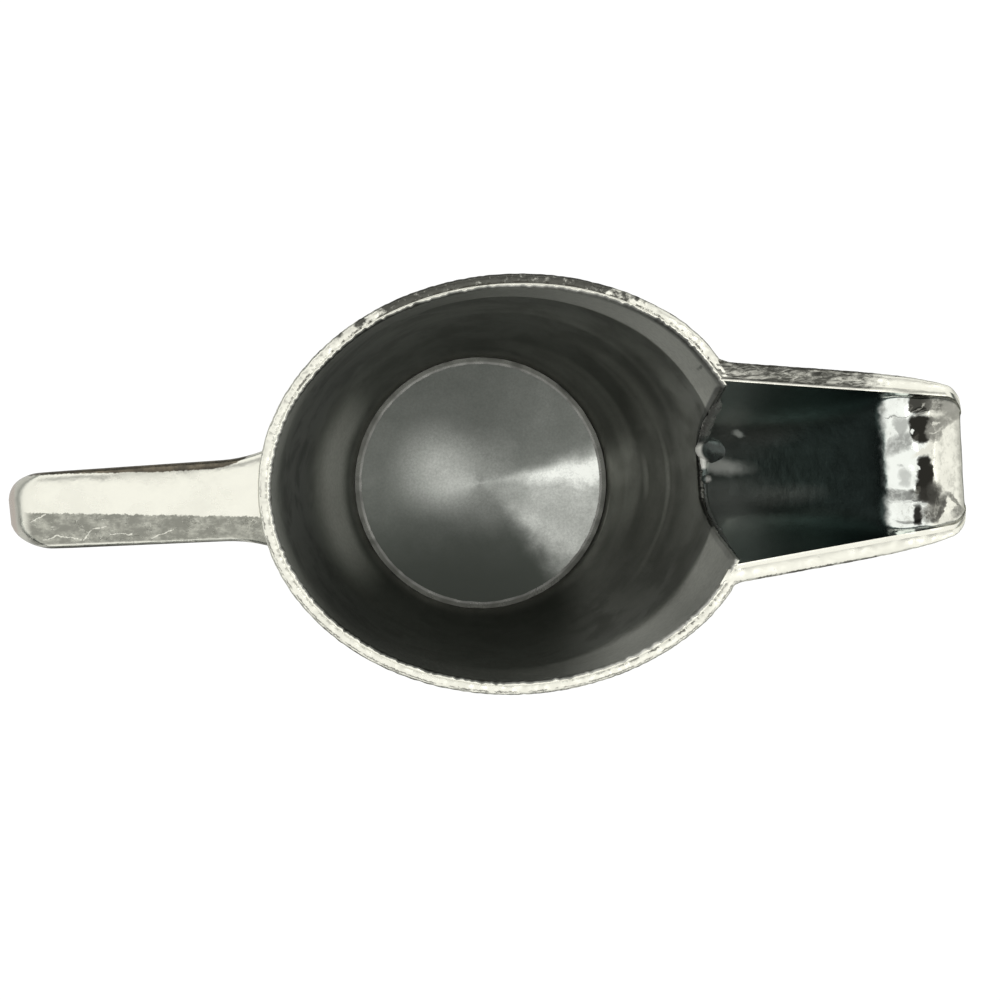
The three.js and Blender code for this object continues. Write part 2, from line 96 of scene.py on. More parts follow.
class CreamerSizes(bpy.types.PropertyGroup):
    """Sizes of the creamer, as in its solids or within the play of its solder and wires"""

    rim_height: length("Rim height", "Table to the mouth", from_frame("body_shell", 1, 2))
    spout_reach: length("Spout reach", "Centre of the foot to the lip", from_frame("spout_trough", 1, 0))
    handle_reach: length(
        "Handle reach", "Centre of the foot to the handle", from_frame("handle_outer_half", 0, 0)
    )
    foot_radius: length("Foot radius", "Foot ring on the table", from_frame("foot_ring", 1, 0))
    wall: length("Wall", "Sheet of the body and the spout", 0.8)
    seam: length("Seam", "Solder line between two joined pieces", 0.3)
    solder_leg: length("Solder leg", "Width of a solder fillet on each face", 0.9)
    mouth_length: length("Mouth length", "Outside the rim wire, along the spout", 81.9)
    mouth_width: length("Mouth width", "Outside the rim wire, side to side", 66.9)
    mouth_lead: length("Mouth lead", "Centre of the mouth ahead of the foot", 6)
    base_diameter: length("Base diameter", "Outside the wall above the bottom corner", 52.2)
    belly: length("Belly", "Outward swell of the wall at half its height", 3)
    bottom_corner: length("Bottom corner", "Inside radius where the wall turns under", 1.2)
    flange_width: length("Flange width", "Rim of the bottom that carries the floor", 4)
    floor_thickness: length("Floor thickness", "Thickness of the floor disc", 1.2)
    foot_height: length("Foot height", "Height of the foot ring", 3.6)
    foot_band: length("Foot band", "Thickness of the foot ring at its top", 1.6)
    foot_tread: length("Foot tread", "Width of the foot ring on the table", 2.4)
    foot_edge: length("Foot edge", "Upright edge below the flare of the foot", 0.9)
    mouth_wire_width: length("Mouth wire width", "Width of the wire round the mouth", 1.25)
    mouth_wire_height: length("Mouth wire height", "Height of the wire round the mouth", 2.4)
    spout_root_width: length("Spout root width", "Inside, where the spout meets the body", 29.2)
    spout_lip_width: length("Spout lip width", "Inside, at the tip of the lip", 19.6)
    spout_depth: length("Spout depth", "Bottom of the opening below the mouth", 29.4)
    spout_ledge: length("Spout ledge", "Body sheet that stands proud in the spout", 0.7)
    spout_rise: length("Spout rise", "Spout edge above the mouth at the lip", 2.5)
    lip_length: length("Lip length", "Lip beyond the top of the ramp", 12.5)
    lip_roll: length("Lip roll", "Part of the lip that rolls downward", 6.5)
    lip_depth: length("Lip depth", "Crest of the lip below the spout edges", 1.5)
    lip_drop: length("Lip drop", "Tip of the lip below its crest", 1)
    lip_edge: length("Lip edge", "Spout edge above the lip at the tip", 0.4)
    lip_corner: length("Lip corner", "Plan radius of the corners of the lip", 2.6)
    spout_wire_width: length("Spout wire width", "Width of the wires along the spout", 2)
    spout_wire_height: length("Spout wire height", "Height of the wires along the spout", 2.4)
    spout_wire_tip: length("Spout wire tip", "Width of the wires where they fade out", 0.12)
    spout_wire_stop: length("Spout wire stop", "End of the wires short of the tip", 0.15)
    handle_width: length("Handle width", "Width of the strap", 13.4)
    handle_tail_width: length("Handle tail width", "Width of the strap at the lower joint", 10.4)
    handle_thickness: length("Handle thickness", "Thickness of the hollow strap", 5.2)
    handle_sheet: length("Handle sheet", "Sheet of the two struck halves", 0.9)
    handle_seam: length("Handle seam", "Open line between the two halves", 0.12)
    handle_flare: length("Handle flare", "Extra half width at the body", 2.0)
    handle_flare_length: length("Flare length", "Length of the flare at the body", 9)
    handle_elbow: length("Handle elbow", "Inside radius of the upper elbow", 0.6)
    handle_drop: length("Handle drop", "Upper arm down to the lower bend", 27)
    handle_tuck: length("Handle tuck", "Lower bend inside the reach", 9)
    handle_bend: length("Handle bend", "Inside radius of the lower bend", 14)
    handle_tail_height: length("Tail height", "Lower joint above the table", 20)


class CreamerColours(bpy.types.PropertyGroup):
    """Colours of the creamer's finishes and of the studio"""

    silver: colour("Silver", "Clean worn silver", 0.93, 0.92, 0.82)
    # Lip reflection: a painted cool reflection on the silver where the lip starts
    lip_reflection: colour("Lip silver", "Cooler silver where the lip starts", 0.94, 0.97, 0.92)
    # Grey tarnish and shade: thin tarnish on the silver, also used for the painted grey reflection on the
    # handle and painted shade on the lip
    grey_tarnish_and_shade: colour("Grey tarnish", "Thin tarnish on the silver", 0.27, 0.27, 0.235)
    # Dark dirt and shade: dirt in seams, pits and scratches, also used for painted dark outlines on the rim and
    # the handle and painted dark reflections on the lip
    dark_dirt_and_shade: colour("Dark tarnish", "Dirt in seams, pits and scratches", 0.055, 0.052, 0.042)
    # End floor reflection: the warm reflection of the floor painted on the end of the handle
    end_floor_reflection: colour("End tarnish", "Warm tarnish at the end of the handle", 0.86, 0.76, 0.68)
    # Cup tarnish and shade: blackened tarnish and painted shade inside the cup
    cup_tarnish_and_shade: colour("Cup dark", "Blackened inside of the cup", 0.15, 0.153, 0.135)
    # Cup painted light: painted light bands, glow and arcs inside the cup, also the colour of its scratches
    cup_painted_light: colour("Cup light", "Rubbed bands inside the cup", 0.75, 0.75, 0.69)
    # Spout tarnish and shade: green black tarnish and painted dark reflection inside the spout
    spout_tarnish_and_shade: colour("Spout dark", "Green black inside of the spout", 0.135, 0.178, 0.165)
    # Floor highlight: the colour of the painted highlights on the turned floor, whose dull part is a share of
    # it
    floor_highlight: colour("Floor metal", "Turned floor", 0.95, 0.97, 0.92)
    smear: colour("Smear", "Grey smears of solder in the spout", 0.8, 0.82, 0.77)
    solder: colour("Solder", "Bare solder", 0.42, 0.42, 0.39)
    backdrop: colour("Backdrop", "Floor of the studio", 1.0, 1.0, 1.0)


# Shapes shared by the pieces
def lerp(start, end, share):
    return start + (end - start) * share


def smooth(start, end, value):
    """0 below start, 1 above end, and a smooth step between."""
    share = np.clip((value - start) / (end - start), 0, 1)
    return share * share * (3 - 2 * share)


def signed_power(value, power):
    return np.sign(value) * np.abs(value) ** power


def unit(vectors):
    return vectors / np.linalg.norm(vectors, axis=-1, keepdims=True)


WAVES = 9
WAVE_SPREAD = (0.6, 1.7)


def waviness(points, wave, seed):
    """Uneven swell of about -1 to 1 over points, with bumps about a wave apart."""
    draw = np.random.default_rng(seed)
    directions = unit(draw.normal(size=(WAVES, 3)))
    waves = wave * draw.uniform(*WAVE_SPREAD, WAVES)
    phases = draw.uniform(0, 2 * np.pi, WAVES)
    swell = np.sin(points @ (2 * np.pi * directions / waves[:, None]).T + phases)
    return swell.sum(-1) / WAVES ** 0.5


def rough(points, *swells):
    """Sum of swells, each given by its height, wave and seed."""
    return sum(height * waviness(points, wave, seed) for height, wave, seed in swells)


PINCH = (0.6, 1.2)  # how far the mouth is pressed in on the right and on the left of the spout
PINCH_BLEND = (-2.0, 2.0)  # sides between which the one turns into the other
PINCH_SIDES = (25.0, 15.0)
PINCH_FRONT = (0.2, 0.4)
PINCH_RUN = (12.0, 20.0)
PINCH_FADE = 4
HIT_HALVINGS = 30
HIT_SPAN = 60.0  # lines are followed this far toward the body
CUT_ROUNDS = 12
LIP_FOLD = 0.8  # the sheet is folded thicker along the tip of the lip
LIP_FOLD_RUN = (69.6, 72.3)
ROOT_FULLNESS = 3.0  # the spout's section at the body, a little fuller than a parabola
LIP_FULLNESS = 5  # and at the lip, where it is a tray
TRAY_FULLNESS = 16
TRAY_RUN = (64, 68)
SHOULDER = 3  # how soon the ramp levels out
WIRE_FADE = 6
WIRE_FULLNESS = 4
STRAP_FULLNESS = 6
TAIL_OVERRUN = 10  # the line of the tail is aimed this far inside the body
RUN_STATIONS = 30
BEND_STATIONS = 22


class Plan:
    """The creamer's sizes in millimetres, and the curves that its pieces share"""

    def __init__(self, sizes):
        for name in CreamerSizes.__annotations__:
            setattr(self, name, getattr(sizes, name) / MM)
        self.base_radius = self.base_diameter / 2
        self.flange_top = self.foot_height + self.wall
        self.flat_radius = self.base_radius - self.wall - self.bottom_corner
        self.wall_start = self.flange_top + self.bottom_corner
        self.floor_top = self.flange_top + self.floor_thickness
        self.rim_half = self.mouth_width / 2 - self.mouth_wire_width - self.seam
        self.stretch = (self.mouth_length - self.mouth_width) / 2
        self.opening_half = self.spout_root_width / 2 - self.spout_ledge
        self.opening_depth = self.spout_depth - self.spout_ledge
        self.keel_start = self.rim_height - self.spout_depth
        self.spout_root = self.half_width(self.keel_start)
        self.spout_root += (self.stretch + self.mouth_lead) * self.rise(self.keel_start)
        self.ramp_end = self.spout_reach - self.lip_length
        self.crest = self.spout_reach - self.lip_roll
        self.lip_square = self.spout_reach - self.lip_corner
        keel_crest = self.open_edge(self.crest) - self.lip_depth
        ramp_run = self.ramp_end + (self.crest - self.ramp_end) / SHOULDER - self.spout_root
        self.ramp_slope = (keel_crest - self.keel_start) / ramp_run
        self.wire_end = self.spout_reach - self.spout_wire_stop

    # Body
    def rise(self, z):
        return np.maximum(0, (z - self.wall_start) / (self.rim_height - self.wall_start))

    def half_width(self, z):
        share = self.rise(z)
        swell = self.belly * np.sin(np.pi * np.minimum(share, 1))
        return lerp(self.base_radius, self.rim_half, share) + swell

    def pinch(self, y, z):
        """How far the front of the body is pressed in beside the spout, more toward the mouth."""
        most = lerp(*PINCH, smooth(*PINCH_BLEND, y))
        return most * smooth(*PINCH_SIDES, np.abs(y)) * np.minimum(self.rise(z), 1) ** PINCH_FADE

    def oval(self, angle, z, grow):
        """Points of the body's outer face at angles and heights, moved outward."""
        share = self.rise(z)
        radius = self.half_width(z) + grow
        x = (radius + share * self.stretch) * np.cos(angle) + share * self.mouth_lead
        y = radius * np.sin(angle)
        x = x - self.pinch(y, z) * smooth(*PINCH_FRONT, np.cos(angle))
        return np.stack(np.broadcast_arrays(x, y, z), -1)

    def wall_front(self, y, z):
        """Where the outer face of the body's front lies, for a side and a height."""
        share = self.rise(z)
        radius = self.half_width(z)
        run = np.sqrt(np.maximum(0, 1 - (y / radius) ** 2))
        return (radius + share * self.stretch) * run + share * self.mouth_lead - self.pinch(y, z)

    def wall_hit(self, start, heading):
        """Where lines from outside the body, along a heading, meet its outer face."""
        near = np.zeros(start.shape[:-1])
        far = np.full(start.shape[:-1], HIT_SPAN)
        for _ in range(HIT_HALVINGS):
            middle = (near + far) / 2
            x, y, z = np.moveaxis(start + heading * middle[..., None], -1, 0)
            share = self.rise(z)
            radius = self.half_width(z)
            run = (x - share * self.mouth_lead) / (radius + share * self.stretch)
            is_inside = run ** 2 + (y / radius) ** 2 < 1
            far = np.where(is_inside, middle, far)
            near = np.where(is_inside, near, middle)
        return start + heading * far[..., None]

    def cut_edge(self, y):
        """Height of the edge of the opening for the spout, at a side."""
        return self.rim_height - self.opening_depth * (1 - np.abs(y / self.opening_half) ** ROOT_FULLNESS)

    def cut_height(self, angle):
        """Top of the body sheet at an angle: the mouth, or the edge of the opening for the spout."""
        z = np.full_like(angle, self.rim_height)
        for _ in range(CUT_ROUNDS):
            y = self.half_width(z) * np.sin(angle)
            is_cut = (np.abs(y) < self.opening_half) & (np.cos(angle) > 0)
            z = np.where(is_cut, self.cut_edge(y), self.rim_height)
        return z

    # Spout
    def along(self, x):
        return np.clip((x - self.spout_root) / (self.spout_reach - self.spout_root), 0, 1)

    def past(self, x):
        return np.clip((x - self.crest) / self.lip_roll, 0, 1)

    def open_edge(self, x):
        return self.rim_height + self.spout_rise * self.along(x) ** 2

    def ramp_turn(self, x):
        return np.clip((x - self.ramp_end) / (self.crest - self.ramp_end), 0, 1)

    def keel(self, x):
        """Bottom line of the spout: a straight ramp, a round shoulder and the roll of the lip."""
        run = np.clip(x, self.spout_root, self.ramp_end) - self.spout_root
        turn = self.ramp_turn(x)
        shoulder = (self.crest - self.ramp_end) * (1 - (1 - turn) ** SHOULDER) / SHOULDER
        fold = LIP_FOLD * smooth(*LIP_FOLD_RUN, x)
        return self.keel_start + self.ramp_slope * (run + shoulder) - self.lip_drop * self.past(x) ** 2 + fold

    def edge(self, x):
        edge = lerp(self.open_edge(x), self.keel(x) + self.lip_edge, self.past(x) ** 2)
        return np.minimum(edge, CAD_BOX[1][2] / MM)

    def spout_half(self, x):
        straight = lerp(self.spout_root_width, self.spout_lip_width, self.along(x)) / 2
        corner = np.clip(x - self.lip_square, 0, self.lip_corner)
        return straight - self.lip_corner + np.sqrt(self.lip_corner ** 2 - corner ** 2)

    def spout_point(self, x, side, offset):
        """Point of the spout sheet at a side from -1 to 1, moved outward from its inside face."""
        half = self.spout_half(x)
        depth = self.edge(x) - self.keel(x)
        fullness = lerp(ROOT_FULLNESS, LIP_FULLNESS, self.along(x)) + TRAY_FULLNESS * smooth(*TRAY_RUN, x)
        climb = depth * fullness * np.abs(side) ** (fullness - 1) / half
        tilt = np.hypot(1, climb)
        steep = np.hypot(1, self.ramp_slope * (1 - self.ramp_turn(x)) ** (SHOULDER - 1))
        y = side * half + np.sign(side) * offset * climb / tilt
        z = self.edge(x) - depth * (1 - np.abs(side) ** fullness) - offset * steep / tilt
        return np.stack(np.broadcast_arrays(x, y, z), -1)

    def wire_size(self, x, full):
        fade = np.clip((x - self.spout_root) / (self.wire_end - self.spout_root), 0, 1)
        return lerp(self.spout_wire_tip, full, 1 - fade ** WIRE_FADE)

    # Handle
    def handle_path(self):
        """The handle's middle line in the XZ plane: places, headings, distances, and the row of its tail."""
        radii = [self.handle_elbow + self.handle_thickness / 2, self.handle_bend + self.handle_thickness / 2]
        top = self.rim_height - self.mouth_wire_height - self.solder_leg - 2 * self.seam
        arm = top - self.handle_thickness / 2
        turn = np.pi / 2 + math.atan2(self.handle_tuck, self.handle_drop)
        back = -self.handle_reach + self.handle_thickness / 2 + radii[0] * (1 - math.tan(turn / 2))
        tail = self.oval(np.pi, self.handle_tail_height, 0)[0] + TAIL_OVERRUN
        corners = np.array([
            [self.oval(np.pi, arm, 0)[0], arm],
            [back, arm],
            [back + self.handle_tuck, arm - self.handle_drop],
            [tail, self.handle_tail_height],
        ])
        places, headings = [], []
        run_start = corners[0]
        for corner, ahead, radius in zip(corners[1:], corners[2:], radii):
            arriving = unit(corner - run_start)
            leaving = unit(ahead - corner)
            turn = math.acos(np.clip(arriving @ leaving, -1, 1))
            bend_start = corner - arriving * radius * math.tan(turn / 2)
            centre = bend_start + radius * np.array([-arriving[1], arriving[0]])
            for share in np.linspace(0, 1, RUN_STATIONS, endpoint=False):
                places.append(lerp(run_start, bend_start, share))
                headings.append(arriving)
            for angle in np.linspace(0, turn, BEND_STATIONS, endpoint=False):
                spin = np.array([[math.cos(angle), -math.sin(angle)], [math.sin(angle), math.cos(angle)]])
                places.append(centre + spin @ (bend_start - centre))
                headings.append(spin @ arriving)
            run_start = corner + leaving * radius * math.tan(turn / 2)
        tail_row = len(places)
        for share in np.linspace(0, 1, RUN_STATIONS):
            places.append(lerp(run_start, corners[-1], share))
            headings.append(unit(corners[-1] - run_start))
        places = np.array(places)
        steps = np.linalg.norm(np.diff(places, axis=0), axis=1)
        distance = np.concatenate([[0], np.cumsum(steps)])
        return places, np.array(headings), distance, tail_row

    def strap_half(self, distance, whole):
        near = np.clip(distance / self.handle_flare_length, 0, 1)
        taper = lerp(self.handle_width, self.handle_tail_width, distance / whole) / 2
        return taper + self.handle_flare * (1 - near) ** 2


# Meshes
def quads(rows, columns, wrap_rows=False, wrap_columns=False):
    """Faces of a grid of points, wrapped round where asked."""
    index = np.arange(rows * columns).reshape(rows, columns)
    if wrap_rows:
        index = np.vstack([index, index[:1]])
    if wrap_columns:
        index = np.hstack([index, index[:, :1]])
    corners = [index[:-1, :-1], index[:-1, 1:], index[1:, 1:], index[1:, :-1]]
    return np.stack(corners, -1).reshape(-1, 4)


def strip_cap(row, columns):
    """Faces that close a ring made of two like curves, there and back."""
    first = row * columns
    half = columns // 2
    return np.array([
        [first + i, first + i + 1, first + columns - 2 - i, first + columns - 1 - i]
        for i in range(half - 1)
    ])


def tube_faces(rows, columns, cap=strip_cap):
    """Faces of a row of closed rings, closed at both ends."""
    return np.vstack([
        quads(rows, columns, wrap_columns=True),
        cap(0, columns),
        cap(rows - 1, columns),
    ])


SHARP_ANGLE = math.radians(50)
WELD = 0.002  # points closer than this become one


def add_piece(name, node, points, faces, finishes, finish_of=None):
    """Makes a mesh object that stands for a node and rides on the part's one body."""
    mesh = bpy.data.meshes.new(name)
    mesh.from_pydata((points.reshape(-1, 3) * MM).tolist(), [], faces.tolist())
    for finish in finishes:
        mesh.materials.append(finish)
    if finish_of is not None:
        mesh.polygons.foreach_set("material_index", np.asarray(finish_of, np.int32))
    shape = bmesh.new()
    shape.from_mesh(mesh)
    bmesh.ops.remove_doubles(shape, verts=shape.verts, dist=WELD * MM)
    bmesh.ops.recalc_face_normals(shape, faces=shape.faces)
    shape.to_mesh(mesh)
    shape.free()
    mesh.shade_smooth()
    mesh.set_sharp_from_angle(angle=SHARP_ANGLE)
    piece = bpy.data.objects.new(name, mesh)
    bpy.context.scene.collection.objects.link(piece)
    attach(piece, "root")
    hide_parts(node)
    return piece


# Node wiring
class Wiring:
    """Adds nodes to a tree; a socket given as an input is linked, and anything else is set"""

    def __init__(self, tree):
        self.tree = tree

    def add(self, kind, inputs=(), **settings):
        node = self.tree.nodes.new(kind)
        for name, value in settings.items():
            setattr(node, name, value)
        for key, value in dict(inputs).items():
            self.feed(node.inputs[key], value)
        return node

    def feed(self, socket, value):
        if isinstance(value, bpy.types.NodeSocket):
            self.tree.links.new(value, socket)
        else:
            socket.default_value = value

    def math(self, operation, *values):
        node = self.add("ShaderNodeMath", enumerate(values), operation=operation)
        return node.outputs[0]

    def chain(self, operation, values):
        result = values[0]
        for value in values[1:]:
            result = self.math(operation, result, value)
        return result

    def product(self, *values):
        return self.chain("MULTIPLY", values)

    def total(self, *values):
        return self.chain("ADD", values)

    def most(self, *values):
        return self.chain("MAXIMUM", values)

    def minus(self, value, other):
        return self.math("SUBTRACT", value, other)

    def remap(self, value, start, end, low=0.0, high=1.0):
        """A smooth step from low to high as the value goes from start to end."""
        inputs = {"Value": value, "From Min": start, "From Max": end, "To Min": low, "To Max": high}
        node = self.add("ShaderNodeMapRange", inputs, interpolation_type="SMOOTHSTEP")
        return node.outputs[0]

    def bump_at(self, value, centre, reach):
        """1 at a centre value, fading to 0 a reach away on both sides."""
        away = self.math("ABSOLUTE", self.minus(value, centre))
        return self.remap(away, 0.0, reach, 1.0, 0.0)

    def facing(self, angle, degrees, reach):
        """1 where an angle has a heading, fading to 0 a reach away on both sides, both in degrees."""
        return self.bump_at(angle, math.radians(degrees), math.radians(reach))

    def radius(self, x, y):
        """Distance of a place from the upright axis."""
        return self.math("SQRT", self.math("MULTIPLY_ADD", x, x, self.product(y, y)))

    def mix(self, share, first, second):
        node = self.add("ShaderNodeMix", {0: share, 6: first, 7: second}, data_type="RGBA")
        return node.outputs[2]

    def paint(self, base, *layers):
        """Lays colours over a base one after the other, each where its cover is 1."""
        for cover, shade in layers:
            base = self.mix(cover, base, shade)
        return base

    def noise(self, place, scale, detail=2.0, roughness=0.5, distortion=0.0):
        inputs = {
            "Vector": place, "Scale": scale, "Detail": detail,
            "Roughness": roughness, "Distortion": distortion,
        }
        return self.add("ShaderNodeTexNoise", inputs).outputs[0]

    def drift(self, place, reach, scale, *kind):
        """Noise about zero, times a reach."""
        return self.product(self.minus(self.noise(place, scale, *kind), 0.5), reach)

    def beat(self, value, scale, detail, roughness=0.5):
        """Noise along one value."""
        inputs = {"W": value, "Scale": scale, "Detail": detail, "Roughness": roughness}
        return self.add("ShaderNodeTexNoise", inputs, noise_dimensions="1D").outputs[0]

    def vector(self, operation, *values):
        return self.add("ShaderNodeVectorMath", enumerate(values), operation=operation).outputs

    def scaled(self, place, x, y, z):
        return self.vector("MULTIPLY", place, (x, y, z))[0]

    def warped(self, place, scale, reach):
        """A place moved about by noise, for ragged outlines."""
        inputs = {"Vector": place, "Scale": scale, "Detail": 3.0, "Roughness": 0.6}
        swirl = self.add("ShaderNodeTexNoise", inputs).outputs["Color"]
        swirl = self.vector("ADD", swirl, (-0.5, -0.5, -0.5))[0]
        return self.vector("MULTIPLY_ADD", swirl, (reach, reach, 0.0), place)[0]

    def turned(self, place, degrees):
        inputs = {"Vector": place, "Angle": math.radians(degrees)}
        return self.add("ShaderNodeVectorRotate", inputs, rotation_type="Z_AXIS").outputs[0]

    def measured(self, place, centre, degrees):
        """A place measured from a centre in plan, along a line turned by an angle and across it."""
        return self.turned(self.vector("ADD", place, (-centre[0], -centre[1], 0.0))[0], -degrees)

    def facet(self, place, centre, reach, degrees, taper, edge):
        """A blunt patch in plan, turned by an angle and tapered, with soft edges: 1 inside and 0 outside."""
        x, y, _ = self.split(self.measured(place, centre, degrees))
        wide = self.math("MULTIPLY_ADD", y, reach[0] * taper / reach[1], reach[0])
        over = [
            self.math("POWER", self.math("ABSOLUTE", self.math("DIVIDE", side, half)), FACET_FULLNESS)
            for side, half in ((x, wide), (y, reach[1]))
        ]
        soft = FACET_FULLNESS * edge / min(reach)
        return self.remap(self.total(*over), 1.0 + soft, max(0.0, 1.0 - soft))

    def blot(self, place, centre, reach, degrees):
        """A soft oval in plan, turned by an angle: 1 in the middle and 0 at its edge."""
        oval = self.scaled(self.measured(place, centre, degrees), 1.0 / reach[0], 1.0 / reach[1], 0.0)
        return self.remap(self.vector("LENGTH", oval)["Value"], 1.0, 0.1)

    def bar(self, place, centre, reach, degrees, edge):
        """A thin bar in plan, turned by an angle, with soft edges: 1 inside and 0 outside."""
        x, y, _ = self.split(self.measured(place, centre, degrees))
        inside = [self.minus(half, self.math("ABSOLUTE", side)) for side, half in zip((x, y), reach)]
        return self.remap(self.math("MINIMUM", *inside), -edge, edge)

    def stroke(self, place, start, end, half, edge=0.08):
        """A straight line in plan between two points."""
        run = (end[0] - start[0], end[1] - start[1])
        centre = ((start[0] + end[0]) / 2, (start[1] + end[1]) / 2)
        degrees = math.degrees(math.atan2(run[1], run[0]))
        return self.bar(place, centre, (math.hypot(*run) / 2, half), degrees, edge)

    def split(self, place):
        return self.add("ShaderNodeSeparateXYZ", {0: place}).outputs


FACET_FULLNESS = 3.0
FLOAT = "NodeSocketFloat"
PLACE = "NodeSocketVector"


def new_group(name, inputs, outputs):
    """An empty shader node group with named sockets: its wiring, input sockets and output sockets."""
    tree = bpy.data.node_groups.new(name, "ShaderNodeTree")
    for label, kind, value in inputs:
        socket = tree.interface.new_socket(label, in_out="INPUT", socket_type=kind)
        if value is not None:
            socket.default_value = value
    for label in outputs:
        tree.interface.new_socket(label, in_out="OUTPUT", socket_type=FLOAT)
    wiring = Wiring(tree)
    entry = wiring.add("NodeGroupInput").outputs
    leave = wiring.add("NodeGroupOutput").inputs
    return wiring, entry, leave


SCRATCH_HEADINGS = (12, 71, 128)


def wear_group():
    """Pits, scratches, tarnish clouds and the small dents of worn silver, by place in millimetres."""
    if "worn_surface" in bpy.data.node_groups:
        return bpy.data.node_groups["worn_surface"]
    w, given, out = new_group(
        "worn_surface",
        [("Place", PLACE, None), ("Cloud Size", FLOAT, 8.0), ("Pit Size", FLOAT, 0.5),
         ("Pit Share", FLOAT, 0.3), ("Scratch Share", FLOAT, 0.3)],
        ["Clouds", "Pits", "Scratches", "Dents"],
    )
    place = given["Place"]
    clouds = w.noise(place, w.math("DIVIDE", 1.0, given["Cloud Size"]), 5.0, 0.62, 0.4)
    w.feed(out["Clouds"], w.remap(clouds, 0.36, 0.68))
    pit_scale = w.math("DIVIDE", 1.0, given["Pit Size"])
    ragged = w.noise(place, pit_scale, 3.0, 0.7)
    patches = w.noise(place, w.product(pit_scale, 0.22), 2.0)
    level = w.total(w.product(ragged, 0.72), w.product(patches, 0.28))
    limit = w.remap(given["Pit Share"], 0.0, 1.0, 0.72, 0.44)
    w.feed(out["Pits"], w.remap(level, limit, w.total(limit, 0.035)))
    lines = []
    for degrees in SCRATCH_HEADINGS:
        drawn = w.scaled(w.turned(place, degrees), 0.05, 1.7, 1.7)
        lines.append(w.bump_at(w.noise(drawn, 1.0, 3.0, 0.6, 0.15), 0.5, 0.006))
    bare = w.remap(given["Scratch Share"], 0.0, 1.0, 0.75, 0.3)
    where = w.remap(w.noise(place, 0.16, 2.0), bare, 0.8)
    w.feed(out["Scratches"], w.product(w.most(*lines), where))
    dents = w.noise(place, 0.35, 2.0)
    fine = w.noise(place, 2.4, 3.0)
    w.feed(out["Dents"], w.total(dents, w.product(fine, 0.14)))
    return w.tree


def edge_group():
    """Distance outside the body's sheet in plan, in millimetres, for dirt lines and painted dark outlines along
    the mouth.
    """
    if "mouth_distance" in bpy.data.node_groups:
        return bpy.data.node_groups["mouth_distance"]
    w, given, out = new_group(
        "mouth_distance",
        [("Place", PLACE, None), ("Lead", FLOAT, 6.0),
         ("Half Length", FLOAT, 39.4), ("Half Width", FLOAT, 31.9)],
        ["Distance", "Angle"],
    )
    x, y, _ = w.split(given["Place"])
    run = w.minus(x, given["Lead"])
    squash_x = w.math("DIVIDE", run, given["Half Length"])
    squash_y = w.math("DIVIDE", y, given["Half Width"])
    share = w.radius(squash_x, squash_y)
    slack = w.math("DIVIDE", w.radius(run, y), share)
    w.feed(out["Distance"], w.product(w.minus(share, 1.0), slack))
    w.feed(out["Angle"], w.math("ARCTAN2", squash_y, squash_x))
    return w.tree


def opaque(tint, share=1.0):
    """A colour for a socket, darker or lighter by a share."""
    return (*(value * share for value in tint), 1.0)


